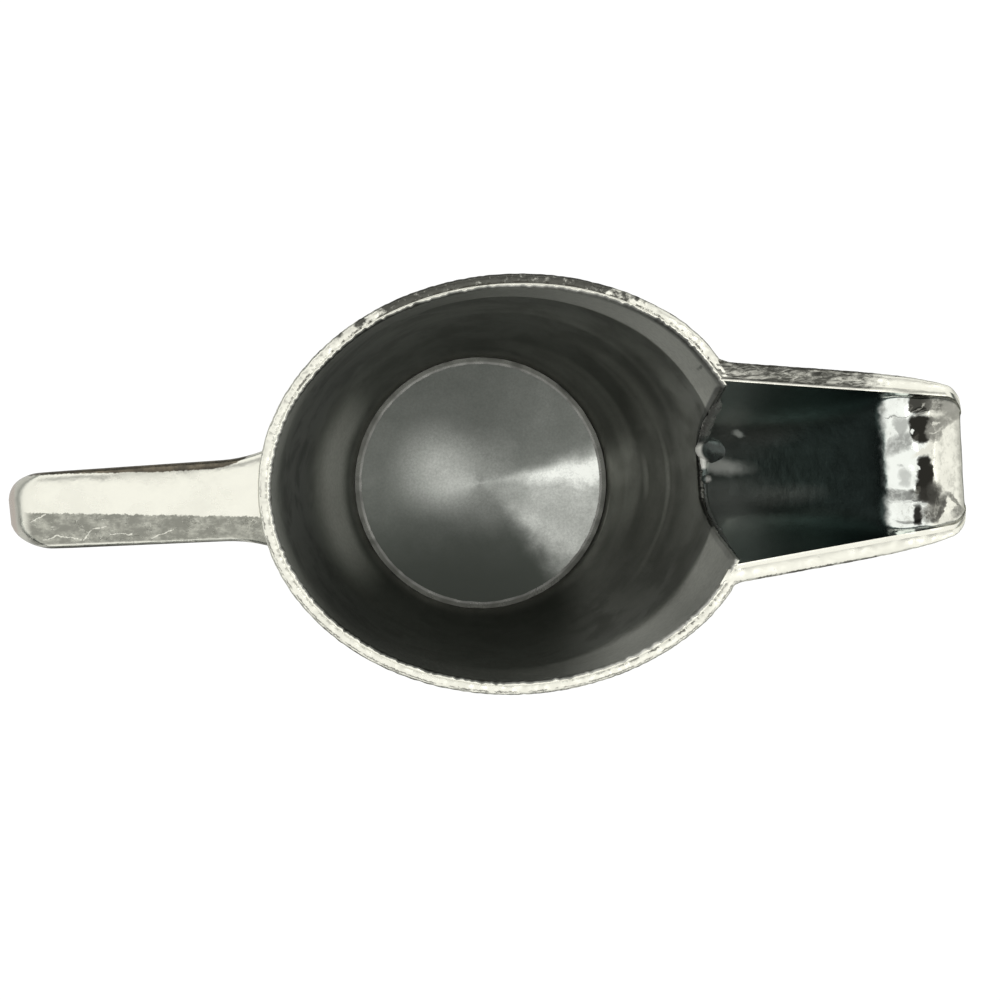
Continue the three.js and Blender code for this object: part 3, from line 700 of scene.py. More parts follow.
class Finish:
    """A metal material being wired: its shader, its place in millimetres and its wear"""

    def __init__(self, name):
        self.material = bpy.data.materials.new(name)
        self.material.use_nodes = True
        tree = self.material.node_tree
        tree.nodes.clear()
        self.w = Wiring(tree)
        self.shader = self.w.add("ShaderNodeBsdfPrincipled", {"Metallic": 1.0})
        output = self.w.add("ShaderNodeOutputMaterial")
        self.w.feed(output.inputs["Surface"], self.shader.outputs[0])
        coordinates = self.w.add("ShaderNodeTexCoord").outputs["Object"]
        self.place = self.w.scaled(coordinates, 1 / MM, 1 / MM, 1 / MM)
        self.x, self.y, self.z = self.w.split(self.place)

    def wear(self, cloud, pit, pit_share, scratch_share):
        """Adds the wear of the surface, with sizes in millimetres."""
        inputs = {
            "Place": self.place, "Cloud Size": cloud, "Pit Size": pit,
            "Pit Share": pit_share, "Scratch Share": scratch_share,
        }
        self.worn = self.w.add("ShaderNodeGroup", inputs, node_tree=wear_group()).outputs

    def mouth(self, plan):
        """Distance outside the body's sheet, and angle round the mouth, as if it weren't pressed in."""
        w = self.w
        sides = w.remap(w.math("ABSOLUTE", self.y), *PINCH_SIDES)
        pinch = w.product(sides, w.remap(self.y, *PINCH_BLEND, *PINCH), w.remap(self.x, *PINCH_RUN))
        unpinched = w.add("ShaderNodeCombineXYZ", {0: w.total(self.x, pinch), 1: self.y, 2: self.z})
        inputs = {
            "Place": unpinched.outputs[0], "Lead": plan.mouth_lead,
            "Half Length": plan.rim_half + plan.stretch, "Half Width": plan.rim_half,
        }
        node = w.add("ShaderNodeGroup", inputs, node_tree=edge_group())
        return node.outputs["Distance"], node.outputs["Angle"]

    def clouded(self, share, first, second):
        """One colour with clouds of another."""
        return self.w.mix(self.w.product(self.worn["Clouds"], share), first, second)

    def silver(self, tint, clouds=0.05):
        return self.clouded(clouds, opaque(tint.silver), opaque(tint.grey_tarnish_and_shade))

    def pitted(self, base, tint, share):
        return self.w.mix(self.w.product(self.worn["Pits"], share), base, opaque(tint.dark_dirt_and_shade))

    def dented(self, pits, depth):
        """Raises the dents and sinks the pits by a share of them."""
        self.bump(self.w.minus(self.worn["Dents"], self.w.product(self.worn["Pits"], pits)), depth)

    def bump(self, height, depth):
        """Raises the surface by a height from 0 to 1 times a depth in millimetres."""
        inputs = {"Height": height, "Distance": depth * MM, "Strength": 1.0}
        node = self.w.add("ShaderNodeBump", inputs)
        self.w.feed(self.shader.inputs["Normal"], node.outputs[0])

    def done(self, base, roughness):
        """Sets the colour, and the roughness as one value or as a range over the clouds."""
        if isinstance(roughness, tuple):
            roughness = self.w.remap(self.worn["Clouds"], 0.0, 1.0, *roughness)
        self.w.feed(self.shader.inputs["Base Color"], base)
        self.w.feed(self.shader.inputs["Roughness"], roughness)
        return self.material


# Finishes
DARK_SHARE = 0.3  # dark stretches of the silver, as a share of the grey tarnish


def polished_finish(name, tint, tarnish=None):
    """Worn silver of the outside: bright, finely scratched, with faint clouds, and dark where asked."""
    f = Finish(name)
    w = f.w
    f.wear(11.0, 0.55, 0.12, 0.5)
    base = f.silver(tint, 0.1)
    if tarnish:
        base = w.mix(tarnish(f), base, opaque(tint.grey_tarnish_and_shade, DARK_SHARE))
    base = f.pitted(base, tint, 0.5)
    base = w.mix(w.product(f.worn["Scratches"], 0.35), base, opaque(tint.grey_tarnish_and_shade))
    f.dented(0.2, 0.05)
    return f.done(base, (0.14, 0.28))


def in_opening(plan, reach):
    """Tarnish of the body's sheet along the edge of its opening for the spout, down to a reach below."""
    half = plan.opening_half
    depth = plan.opening_depth
    slope = ROOT_FULLNESS * depth / half

    def tarnish(f):
        w = f.w
        side = w.math("ABSOLUTE", f.y)
        share = w.math("DIVIDE", side, half)
        edge = w.math("MULTIPLY_ADD", w.math("POWER", share, ROOT_FULLNESS), depth, plan.rim_height - depth)
        climb = w.product(w.math("POWER", share, ROOT_FULLNESS - 1), slope)
        tilt = w.math("SQRT", w.math("MULTIPLY_ADD", climb, climb, 1.0))
        above = w.math("DIVIDE", w.minus(f.z, edge), tilt)
        across = w.product(w.remap(side, 14.2, 13.6), w.remap(f.x, 30.0, 32.0))
        return w.product(across, w.remap(f.z, 71.4, 70.4), w.remap(above, -reach - 0.4, -reach))

    return tarnish


def rim_finish(plan, tint):
    """Cream silver of the mouth wire: pitted, with dirt in its seams, painted dark outlines along its outer
    edge, and a dark olive stretch on one side.
    """
    f = Finish("rim_silver")
    w = f.w
    f.wear(5.0, 0.55, 0.33, 0.4)
    distance, angle = f.mouth(plan)
    ragged = w.total(distance, w.drift(f.place, 0.75, 2.2, 4.0, 0.65))
    sideways = w.math("SINE", angle)
    olive_side = w.total(w.facing(angle, 94, 50), w.drift(f.place, 1.4, 0.45, 4.0, 0.6))
    flecks = w.remap(w.noise(f.place, 0.85, 5.0, 0.72), 0.53, 0.8)
    olive = w.mix(flecks, opaque(tint.grey_tarnish_and_shade, DARK_SHARE), opaque(tint.silver))
    base = w.mix(w.product(w.remap(olive_side, 0.25, 0.45), 0.97), f.silver(tint), olive)
    base = f.pitted(base, tint, 0.5)
    broken = w.remap(w.noise(f.place, 0.8, 4.0, 0.7), 0.46, 0.56)
    seam = w.product(w.remap(ragged, 0.16, 0.34, 1.0, 0.0), broken, w.remap(sideways, 0.2, 0.6))
    handle_side = w.remap(w.math("COSINE", angle), -0.55, -0.85, 0.0, 0.5)
    dashes = w.product(w.bump_at(ragged, 0.1, 0.3), w.remap(w.beat(angle, 21.0, 4.0), 0.48, 0.53))
    dashes = w.product(dashes, w.most(w.facing(angle, -52, 44), handle_side))
    south = w.remap(w.math("SINE", w.total(angle, math.radians(15))), 0.1, -0.5)
    # painted dark outline along the outer edge, on the south side
    line = w.product(w.bump_at(ragged, 1.0, 0.2), south, w.remap(w.noise(f.place, 0.5, 3.0), 0.38, 0.52), 0.9)
    # painted dark outlines along the outer edge, where the wire faces the sides
    outer = w.product(w.remap(ragged, 1.25, 1.45), w.remap(w.math("ABSOLUTE", sideways), 0.35, 0.7))
    outer = w.product(outer, w.remap(w.noise(f.place, 0.35, 3.0), 0.3, 0.55))
    dirt_and_shade = w.most(seam, dashes, line, outer)
    base = w.mix(w.product(dirt_and_shade, 0.88), base, opaque(tint.dark_dirt_and_shade))
    f.dented(0.35, 0.05)
    return f.done(base, (0.26, 0.4))


def dark_left(f):
    """Dark scratched tarnish over most of the spout's left edge."""
    w = f.w
    run = w.remap(w.total(f.x, w.drift(f.place, 9.0, 0.5, 3.0)), 61.0, 64.0, 1.0, 0.0)
    streaks = w.noise(w.scaled(f.place, 0.5, 2.2, 1.0), 1.0, 5.0, 0.7, 0.6)
    return w.product(w.remap(f.y, -1.0, 1.0), run, w.remap(streaks, 0.42, 0.7, 1.0, 0.35))


def spout_wire_finish(plan, tint):
    """Cream silver of the spout's edge wires; the left one is dark and scratched over most of its length."""
    f = Finish("spout_edge_silver")
    w = f.w
    f.wear(4.0, 0.5, 0.22, 0.5)
    base = w.mix(dark_left(f), f.silver(tint), opaque(tint.grey_tarnish_and_shade, DARK_SHARE))
    base = f.pitted(base, tint, 0.6)
    outer = w.remap(w.total(past_spout(f, plan), w.drift(f.place, 0.7, 1.8, 4.0, 0.65)), 2.6, 2.8)
    outer = w.product(outer, w.remap(w.noise(f.place, 0.3, 4.0, 0.6), 0.45, 0.55), 0.85)
    base = w.mix(outer, base, opaque(tint.dark_dirt_and_shade, 1.2))
    f.dented(0.35, 0.05)
    return f.done(base, (0.26, 0.4))


def past_spout(f, plan):
    """How far outside the inner edge of the spout a point lies."""
    w = f.w
    taper = (plan.spout_lip_width - plan.spout_root_width) / 2 / (plan.spout_reach - plan.spout_root)
    inner = w.math("MULTIPLY_ADD", f.x, taper, plan.spout_root_width / 2 - taper * plan.spout_root)
    return w.minus(w.math("ABSOLUTE", f.y), inner)


def left_edge(plan):
    """Tarnish of the spout sheet's left edge on top, but for a thin worn line."""

    def tarnish(f):
        w = f.w
        return w.product(dark_left(f), w.remap(past_spout(f, plan), 0.2, 0.45), w.remap(f.z, 70.0, 71.0))

    return tarnish


NICK_AT = (37.1, 17.9)  # a dark nick under the mouth, beside the spout
NICK_REACH = (0.55, 1.6)
CUP_LINE = (52.0, 55.0)  # the cup's painted light band starts above these heights, on its right and on its left
# Soft painted light arcs on the wall of the cup: height, half height, heading and its reach in degrees, and
# lightness
CUP_ARCS = (
    (29.5, 1.7, -4, 52, 0.42),
    (29.5, 5.0, 40, 48, 0.28),
    (21.2, 1.6, -2, 16, 0.34),
    (14.0, 2.4, -6, 46, 0.24),
)


def cup_painted_light(f, angle, wavy):
    """How much painted light the inside of the cup gets: its band under the mouth, its glow and band on the
    back, its rings, streaks and arcs.
    """
    w = f.w
    near = partial(w.facing, angle)
    sideways = w.math("SINE", angle)
    toward_front = w.math("COSINE", w.minus(angle, math.radians(5)))
    gap = w.minus(wavy, w.remap(sideways, -0.4, 0.5, *CUP_LINE))
    blur = w.remap(toward_front, -0.6, 0.1, 5.0, 0.5)
    blur = w.total(blur, w.product(near(70, 45), 0.9), w.product(near(-58, 42), 3.5))
    crisp = w.remap(gap, w.product(blur, -1.0), blur)
    sides = w.most(near(48, 64), w.product(near(-34, 36), 0.75), near(-58, 30))
    band = w.total(w.remap(toward_front, -0.6, 0.1, 0.05, 0.36), w.product(sides, 0.5))
    band = w.product(band, crisp, w.remap(sideways, -1.0, -0.9, 0.8, 1.0))
    streaks = w.noise(w.scaled(f.place, 0.08, 0.08, 0.6), 1.0, 3.0, 0.6)
    streaks = w.product(w.remap(streaks, 0.45, 0.6), w.remap(f.z, 56.0, 64.0), near(-66, 22), 0.6)
    back = w.remap(w.math("COSINE", angle), -0.97, -0.7, 1.0, 0.0)
    glow = w.product(back, w.remap(wavy, 8.5, 15.0), w.remap(wavy, 34.0, 19.0), 0.85)
    back_band = w.product(back, w.remap(f.z, 56.0, 71.0), 0.5)
    rings = w.noise(w.scaled(f.place, 0.01, 0.01, 0.075), 1.0, 2.0, 0.5, 0.4)
    painted_ring_light = w.product(w.remap(rings, 0.45, 0.6), w.remap(toward_front, -0.6, 0.7, 0.05, 0.25))
    painted_ring_light = w.product(painted_ring_light, w.remap(gap, -4.0, -18.0, 0.2, 1.0), w.remap(sideways, -0.7, -0.3))
    arcs = [
        w.product(w.bump_at(wavy, height, half), near(degrees, reach), lightness)
        for height, half, degrees, reach, lightness in CUP_ARCS
    ]
    foot_arc = w.product(w.bump_at(f.z, 7.4, 0.7), near(-28, 32), 0.8)
    corner = w.remap(f.z, 12.0, 6.0, 0.0, 0.36)
    line = w.product(w.bump_at(gap, 0.0, 0.7), near(84, 44), 0.4)
    # all of these are painted light and reflections on the wall of the cup
    light = w.total(w.most(painted_ring_light, band, streaks, glow, back_band, *arcs, foot_arc, corner), line)
    return w.product(light, w.remap(w.noise(f.place, 1.4, 4.0, 0.6), 0.2, 0.8, 0.82, 1.14))


def cup_finish(plan, tint):
    """Inside of the body, blackened with tarnish and painted shade: a lighter matt band of painted light under
    the mouth, painted light on its back, soft painted arcs, and a painted shadow under the rim.
    """
    f = Finish("cup_inside")
    w = f.w
    f.wear(9.0, 0.6, 0.1, 0.25)
    _, angle = f.mouth(plan)
    wavy = w.total(f.z, w.drift(f.place, 2.5, 0.05, 3.0))
    light = cup_painted_light(f, angle, wavy)
    # painted shade over the back of the cup, below the rim
    painted_back_shade = w.product(w.remap(w.math("COSINE", angle), -0.4, -0.85), w.remap(wavy, 28.0, 40.0))
    nick = w.blot(w.warped(f.place, 0.8, 0.8), NICK_AT, NICK_REACH, -15)
    nick = w.product(nick, w.remap(f.z, 56.0, 60.0), w.remap(f.z, 70.0, 68.0), 1.6)
    edge_dirt = w.product(in_opening(plan, 0.5)(f), w.remap(f.y, -4.0, 0.0, 0.35, 0.85))
    # painted shadow just under the mouth, on one side
    painted_shadow_under_rim = w.product(w.remap(wavy, 68.6, 70.8), w.facing(angle, 46, 44), 0.85)
    base = w.paint(
        w.mix(light, opaque(tint.cup_tarnish_and_shade), opaque(tint.cup_painted_light)),
        (w.product(painted_back_shade, w.remap(f.z, 66.0, 54.0), 0.9), opaque(tint.cup_tarnish_and_shade, 0.25)),
        (w.remap(nick, 0.2, 1.0, 0.0, 0.8), opaque(tint.cup_tarnish_and_shade)),
        (edge_dirt, opaque(tint.cup_tarnish_and_shade, 0.25)),
        (painted_shadow_under_rim, opaque(tint.cup_tarnish_and_shade, 0.3)),
        # real scratches, in the light colour of the painted bands
        (w.product(f.worn["Scratches"], 0.1), opaque(tint.cup_painted_light)),
    )
    w.feed(f.shader.inputs["Metallic"], w.remap(light, 0.0, 1.0, 0.95, 0.45))
    f.bump(f.worn["Dents"], 0.03)
    return f.done(base, (0.3, 0.42))


# Painted light and dark reflections in the facets of the dented lip, painted one over the other:
# centre, half sizes, turn in degrees, taper, softness of the edge and tone
LIP_FACETS = (
    ((67.3, -0.8), (2.25, 3.05), -3, 0, 0.3, 0.97),
    ((70.55, 9.3), (1.85, 1.5), -3, 0, 0.15, 0.05),
    ((70.35, 8.7), (1.25, 0.09), 41, 0, 0.06, 0.5),
    ((70.8, 8.15), (0.9, 0.07), 31, 0, 0.06, 0.35),
    ((73.75, 9.0), (2.25, 1.35), -11, 0, 0.5, 0.16),
    ((75.75, 8.05), (1.5, 1.2), -11, 0, 0.5, 0.38),
    ((67.0, 7.25), (1.8, 0.09), -1, 0, 0.06, 0.3),
    ((67.75, 7.5), (2.25, 0.1), -1, 0, 0.06, 0.9),
    ((71.3, 7.65), (1.35, 0.14), 12, 0, 0.08, 0.7),
    ((67.45, 5.7), (1.0, 1.45), -3, 0.8, 0.15, 0.5),
    ((67.6, 3.3), (2.3, 1.25), 22, -0.3, 0.45, 0.36),
    ((70.55, 5.0), (1.85, 2.3), -9, 0.25, 0.14, 0.012),
    ((69.25, 4.9), (0.26, 0.27), 42, 0, 0.1, 0.95),
    ((72.7, 5.1), (1.25, 2.0), -17, 0.2, 0.2, 0.26),
    ((73.9, 5.9), (2.3, 0.7), 38, 0, 0.25, 0.3),
    ((72.9, 5.8), (0.6, 0.11), 1, 0, 0.08, 0.8),
    ((73.0, 4.8), (1.05, 0.08), 22, 0, 0.06, 0.6),
    ((70.55, 1.65), (1.75, 0.38), 27, 0, 0.1, 0.85),
    ((67.6, -2.25), (0.9, 1.25), -3, 0, 0.2, 0.6),
    ((70.75, -2.35), (1.25, 3.35), 1, -0.15, 0.12, 0.012),
    ((69.7, -0.95), (0.21, 0.23), 27, 0, 0.08, 0.9),
    ((70.25, -5.4), (2.5, 1.15), -13, 0, 0.25, 0.025),
    ((72.0, -5.4), (0.95, 1.75), -3, 0, 0.35, 0.05),
    ((66.5, -5.05), (2.6, 0.85), -11, 0, 0.35, 0.27),
    ((66.85, -6.15), (1.8, 0.14), 0, 0, 0.08, 0.75),
    ((69.7, -6.45), (1.1, 0.12), -16, 0, 0.08, 0.65),
    ((71.6, -7.3), (1.0, 0.12), -30, 0, 0.08, 0.6),
    ((69.5, -8.5), (0.62, 1.8), 3, 0, 0.1, 0.015),
    ((71.35, -8.3), (1.35, 1.35), -3, 0, 0.25, 0.15),
    ((73.0, -7.2), (0.32, 1.95), -15, 0, 0.18, 0.1),
    ((74.95, -6.2), (1.5, 0.23), -51, 0, 0.18, 0.18),
    ((75.45, -8.2), (0.9, 0.5), 32, 0, 0.3, 0.25),
)
LIP_WARP = ((0.3, 1.8), (0.9, 0.9), (2.6, 0.3))  # scales and reaches of how the outlines of the facets wander
WARM_FROM = 70.0  # the lip's painted cool reflection gives way to the warm silver beyond this
LINE_WIDTH = 0.2  # facets thinner than this are drawn as lines
FACET_SOFTNESS = 1.6  # the others have edges this much softer
ROCKY_TONES = (0.1, 0.5)  # painted reflections of these tones are rough and let the silver show through
COAL_SHARE = 0.25  # the darkest painted reflection, as a share of the dark dirt and shade colour
# Stains at the root of the spout, as soft ovals: centre, half sizes, turn in degrees and strength
MILKY_STAINS = (
    ((42.8, 0.9), (6.6, 2.8), -8, 0.95),
    ((45.2, 6.4), (1.9, 1.0), -24, 1.0),
)
GREY_STAINS = (
    ((51.0, -4.4), (8.0, 2.6), 2, 0.34),
    ((43.5, 8.0), (5.0, 5.0), 0, 0.36),
    ((49.0, 6.0), (7.0, 2.8), 0, 0.3),
)


def ramp_colour(f, plan, tint, run):
    """Glossy green black of the ramp, tarnish with a painted dark reflection, with milky and grey stains at its
    root, darker toward the lip.
    """
    w = f.w
    loose = w.warped(f.place, 0.4, 1.6)

    def stains(ovals):
        return w.most(*(w.product(w.blot(loose, *oval), strength) for *oval, strength in ovals))

    smear = w.noise(w.scaled(f.place, 0.06, 0.4, 0.1), 1.0, 3.0, 0.6)
    sides = w.product(w.remap(w.math("ABSOLUTE", f.y), 4.0, 12.5), w.remap(f.x, 63.0, 52.0), 0.7)
    root = w.product(w.remap(f.x, 53.0, 43.0), w.remap(f.y, 2.0, -6.0, 0.26, 0.44))
    root = w.product(root, w.minus(1.0, w.product(w.bump_at(f.y, 0.5, 3.0), 0.7)))
    root = w.product(root, w.remap(f.y, -14.0, -8.0, 0.55, 1.0))
    milk = stains(MILKY_STAINS)
    stain = w.most(w.total(stains(GREY_STAINS), w.product(root, 0.8)), root, milk)
    w.feed(f.shader.inputs["Metallic"], w.remap(w.most(milk, root), 0.0, 1.0, 1.0, 0.6))
    # painted shade on the shoulder, where the ramp turns level
    shoulder = w.remap(run, plan.ramp_end - 2.4, plan.ramp_end - 0.3, 0.0, 0.6)
    return w.paint(
        w.mix(w.remap(smear, 0.3, 0.8), opaque(tint.spout_tarnish_and_shade, 0.75), opaque(tint.spout_tarnish_and_shade)),
        (sides, opaque(tint.spout_tarnish_and_shade, 2.0)),
        (w.remap(f.x, 54.0, 64.0, 0.0, 0.6), opaque(tint.spout_tarnish_and_shade, 0.1)),
        (w.product(stain, 0.85), opaque(tint.smear)),
        (shoulder, opaque(tint.spout_tarnish_and_shade, 0.2)),
    )


def lip_colour(f, tint, run):
    """Bright silver of the lip with painted light and dark reflections in its dented facets, mottled and pitted
    toward its tip, with painted shade where it rolls down.
    """
    w = f.w
    clean = w.mix(w.remap(run, WARM_FROM, WARM_FROM + 2.0), opaque(tint.lip_reflection), opaque(tint.silver))
    scuffs = w.remap(w.noise(w.scaled(f.place, 1.0, 0.55, 0.5), 0.8, 6.0, 0.74), 0.5, 0.72)
    bright = f.clouded(0.14, clean, opaque(tint.grey_tarnish_and_shade))
    bright = w.mix(w.product(scuffs, 0.55), bright, opaque(tint.grey_tarnish_and_shade, 1.2))
    crumpled = f.place
    for scale, reach in LIP_WARP:
        crumpled = w.warped(crumpled, scale, reach)
    darkest_reflection = np.array(tint.dark_dirt_and_shade) * COAL_SHARE
    rocky = w.remap(w.noise(f.place, 1.5, 5.0, 0.72), 0.4, 0.66, 1.0, 0.6)
    # each facet is a painted light or dark reflection
    for centre, reach, degrees, taper, edge, tone in LIP_FACETS:
        if min(reach) < LINE_WIDTH:
            cover = w.bar(crumpled, centre, reach, degrees, edge)
        else:
            cover = w.facet(crumpled, centre, reach, degrees, taper, edge * FACET_SOFTNESS)
        if ROCKY_TONES[0] < tone < ROCKY_TONES[1]:
            cover = w.product(cover, rocky)
        silver = tint.lip_reflection if centre[0] < WARM_FROM else tint.silver
        bright = w.mix(cover, bright, opaque(lerp(darkest_reflection, np.array(silver), tone)))
    worn = w.remap(run, 71.2, 73.0)
    mottle = w.remap(w.noise(w.scaled(f.place, 1.0, 0.6, 0.5), 1.2, 5.0, 0.75), 0.48, 0.66)
    return w.paint(
        bright,
        (w.product(mottle, worn, 0.4), opaque(tint.grey_tarnish_and_shade, 1.4)),
        (w.product(f.worn["Pits"], worn, 0.55), opaque(tint.grey_tarnish_and_shade)),
        # painted shade on the roll at the tip
        (w.remap(run, 75.5, 76.7, 0.0, 0.6), opaque(tint.grey_tarnish_and_shade)),
    )


def spout_finish(plan, tint):
    """Inside of the spout: glossy green black, tarnish and painted dark reflection, up to the shoulder, and
    bright dented silver with painted reflections on the lip.
    """
    f = Finish("spout_inside")
    w = f.w
    f.wear(3.0, 0.6, 0.3, 0.5)
    run = w.total(f.x, w.drift(f.place, 1.4, 0.8, 3.0))
    lip = w.remap(run, plan.ramp_end - 0.3, plan.ramp_end + 1.2)
    base = w.mix(lip, ramp_colour(f, plan, tint, run), lip_colour(f, tint, run))
    f.bump(f.worn["Dents"], 0.08)
    return f.done(base, w.total(w.remap(run, 71.0, 73.0, 0.08, 0.3), w.remap(run, 63.5, 65.5, 0.2, 0.0)))


FLOOR_DULL = (0.09, 0.0972, 0.09)  # shares of the highlight colour's red, green and blue left on the dull part outside the painted highlights
FLOOR_ROUGHNESS = 0.32


def floor_finish(tint):
    """Turned floor: fine rings about its centre, painted highlight sectors where the turned rings catch the
    light, and cloudy tarnish.
    """
    f = Finish("turned_floor")
    w = f.w
    f.shader.inputs["Anisotropic"].default_value = 0.95
    f.shader.inputs["Anisotropic Rotation"].default_value = 0.25
    tangent = w.add("ShaderNodeTangent", direction_type="RADIAL", axis="Z")
    w.feed(f.shader.inputs["Tangent"], tangent.outputs[0])
    radius = w.radius(f.x, f.y)
    cloud = w.noise(f.place, 0.16, 4.0, 0.6, 0.3)
    swirl = w.product(w.minus(cloud, 0.5), 0.24)
    angle = w.total(w.math("ARCTAN2", f.y, f.x), swirl)
    near = partial(w.facing, angle)
    # painted highlights: bright wedges and patches of the turned floor as the light falls, over a lighter
    # middle
    outward = w.remap(radius, 2.0, 14.0)
    sector = w.remap(angle, math.radians(15), math.radians(5))
    sector = w.product(sector, w.remap(angle, math.radians(-64), math.radians(-34)), outward)
    beam = w.product(near(5, 15), w.remap(radius, 0.0, 20.0))
    arm = w.product(near(-40, 16), w.remap(radius, 3.0, 15.0))
    north_east = w.product(near(40, 45), outward)
    west = w.vector("DISTANCE", w.scaled(f.place, 0.105, 0.1, 0.0), (-0.88, 0.34, 0.0))["Value"]
    patch = w.remap(w.total(west, w.product(swirl, 3.0)), 0.0, 1.25, 1.0, 0.0)
    upper = w.remap(w.total(f.y, w.product(swirl, 24.0)), -20.0, 6.0)
    lights = ((upper, 0.1), (sector, 0.44), (beam, 0.47), (arm, 0.2), (north_east, 0.04), (patch, 0.36))
    middle = w.remap(radius, 0.0, 13.0, 0.24, 0.0)
    painted_shine = w.total(middle, *(w.product(part, amount) for part, amount in lights))
    grain = w.noise(f.place, 2.2, 5.0, 0.75)
    painted_shine = w.product(painted_shine, w.remap(cloud, 0.3, 0.7, 0.84, 1.14), w.remap(grain, 0.25, 0.75, 0.78, 1.22))
    dull = np.array(tint.floor_highlight) * FLOOR_DULL
    base = w.mix(painted_shine, opaque(dull), opaque(tint.floor_highlight))
    f.bump(w.beat(radius, 2.2, 5.0, 0.7), 0.003)
    return f.done(base, FLOOR_ROUGHNESS)


SOLDER_METALLIC = 0.6


def solder_finish(tint, name, level, stained):
    """Dull grey solder, lumpy and a little pitted, with stains."""
    f = Finish(name)
    f.shader.inputs["Metallic"].default_value = SOLDER_METALLIC
    f.wear(4.0, 0.5, 0.08, 0.2)
    base = f.clouded(0.45, opaque(tint.solder, level), opaque(tint.solder, level / 2))
    base = f.pitted(stained(f, base), tint, 0.4)
    f.bump(f.worn["Dents"], 0.04)
    return f.done(base, (0.25, 0.45))


def dark_outside(plan, tint):
    """Stain of the solder round the floor: as dark as the wall in its outer part."""

    def stained(f, base):
        w = f.w
        outside = w.remap(w.radius(f.x, f.y), plan.flat_radius + 0.25, plan.flat_radius + 0.55)
        return w.mix(outside, base, opaque(tint.cup_tarnish_and_shade))

    return stained


LUMP_AT = (41.7, 4.1)  # the big lump of solder in plan
LUMP_REACH = (2.9, 2.9)


def lump_stain_and_highlight(tint):
    """Stain and painted highlight of the solder at the root of the spout: its big lump is dark, with a painted
    highlight crescent on its back and a painted light spot on a small knob.
    """

    def stained(f, base):
        w = f.w
        # painted light spot on the small knob, kept from the darkening
        knob = w.product(w.remap(w.bump_at(f.y, -1.2, 1.1), 0.0, 0.5), w.remap(f.x, 39.9, 40.3))
        dark = w.product(w.remap(f.y, 7.0, 5.4, 0.0, 0.88), w.remap(f.y, -5.0, -1.5, 0.5, 1.0))
        dark = w.product(dark, w.minus(1.0, knob))
        mottle = w.remap(w.noise(f.place, 0.5, 4.0, 0.6), 0.35, 0.7)
        shade = w.mix(mottle, opaque(tint.spout_tarnish_and_shade, 0.2), opaque(tint.spout_tarnish_and_shade, 0.8))
        base = w.mix(dark, base, shade)
        # painted highlight: a pale, less metallic crescent on the back of the big lump
        rim = w.remap(w.blot(f.place, LUMP_AT, LUMP_REACH, 0), 0.3, 0.05)
        back = w.product(rim, w.remap(f.x, 41.0, 39.9), w.remap(f.y, 5.8, 4.4), w.remap(f.y, 0.4, 1.0))
        w.feed(f.shader.inputs["Metallic"], w.remap(back, 0.0, 1.0, SOLDER_METALLIC, 0.1))
        return w.mix(back, base, opaque(tint.solder, 2.2))

    return stained


GREY_EDGE_AT = (-67.0, -0.55)  # a point of the line where the painted grey reflection on the handle starts
GREY_EDGE_SLOPE = -0.0744
ELBOW_LINE = -73.6  # the strap turns down beyond this
CREASE_HALF = 0.085
# Creases in the painted grey reflection, raised a little and drawn as painted highlight lines, from point to
# point
HANDLE_CREASES = (
    ((-70.3, -4.75), (-67.7, -4.1)),
    ((-67.7, -4.1), (-64.2, -4.95)),
    ((-63.9, -5.1), (-62.2, -3.45)),
    ((-62.2, -3.45), (-59.9, -3.05)),
    ((-59.4, -4.25), (-55.8, -4.6)),
    ((-52.8, -5.4), (-49.3, -4.15)),
    ((-72.1, -1.75), (-69.6, -0.6)),
)


OLIVE_SHARES = (1.3, 1.15, 1.0)  # what the dark dirt and shade colour is multiplied by in the handle's olive strip of tarnish and painted shade


def crease_highlights(f):
    """Painted highlights of fine creases in the painted grey reflection: the long ones from point to point, and
    faint ones between.
    """
    w = f.w
    wander = w.warped(f.place, 0.9, 1.0)
    drawn = w.most(*(w.stroke(wander, *crease, CREASE_HALF) for crease in HANDLE_CREASES))
    drawn = w.product(drawn, w.remap(w.noise(f.place, 1.1, 3.0), 0.3, 0.48))
    faint = w.bump_at(w.noise(f.place, 0.26, 4.0, 0.6, 1.2), 0.5, 0.012)
    faint = w.product(faint, w.remap(w.noise(f.place, 0.5, 2.0), 0.45, 0.6), 0.7)
    return w.most(drawn, faint)


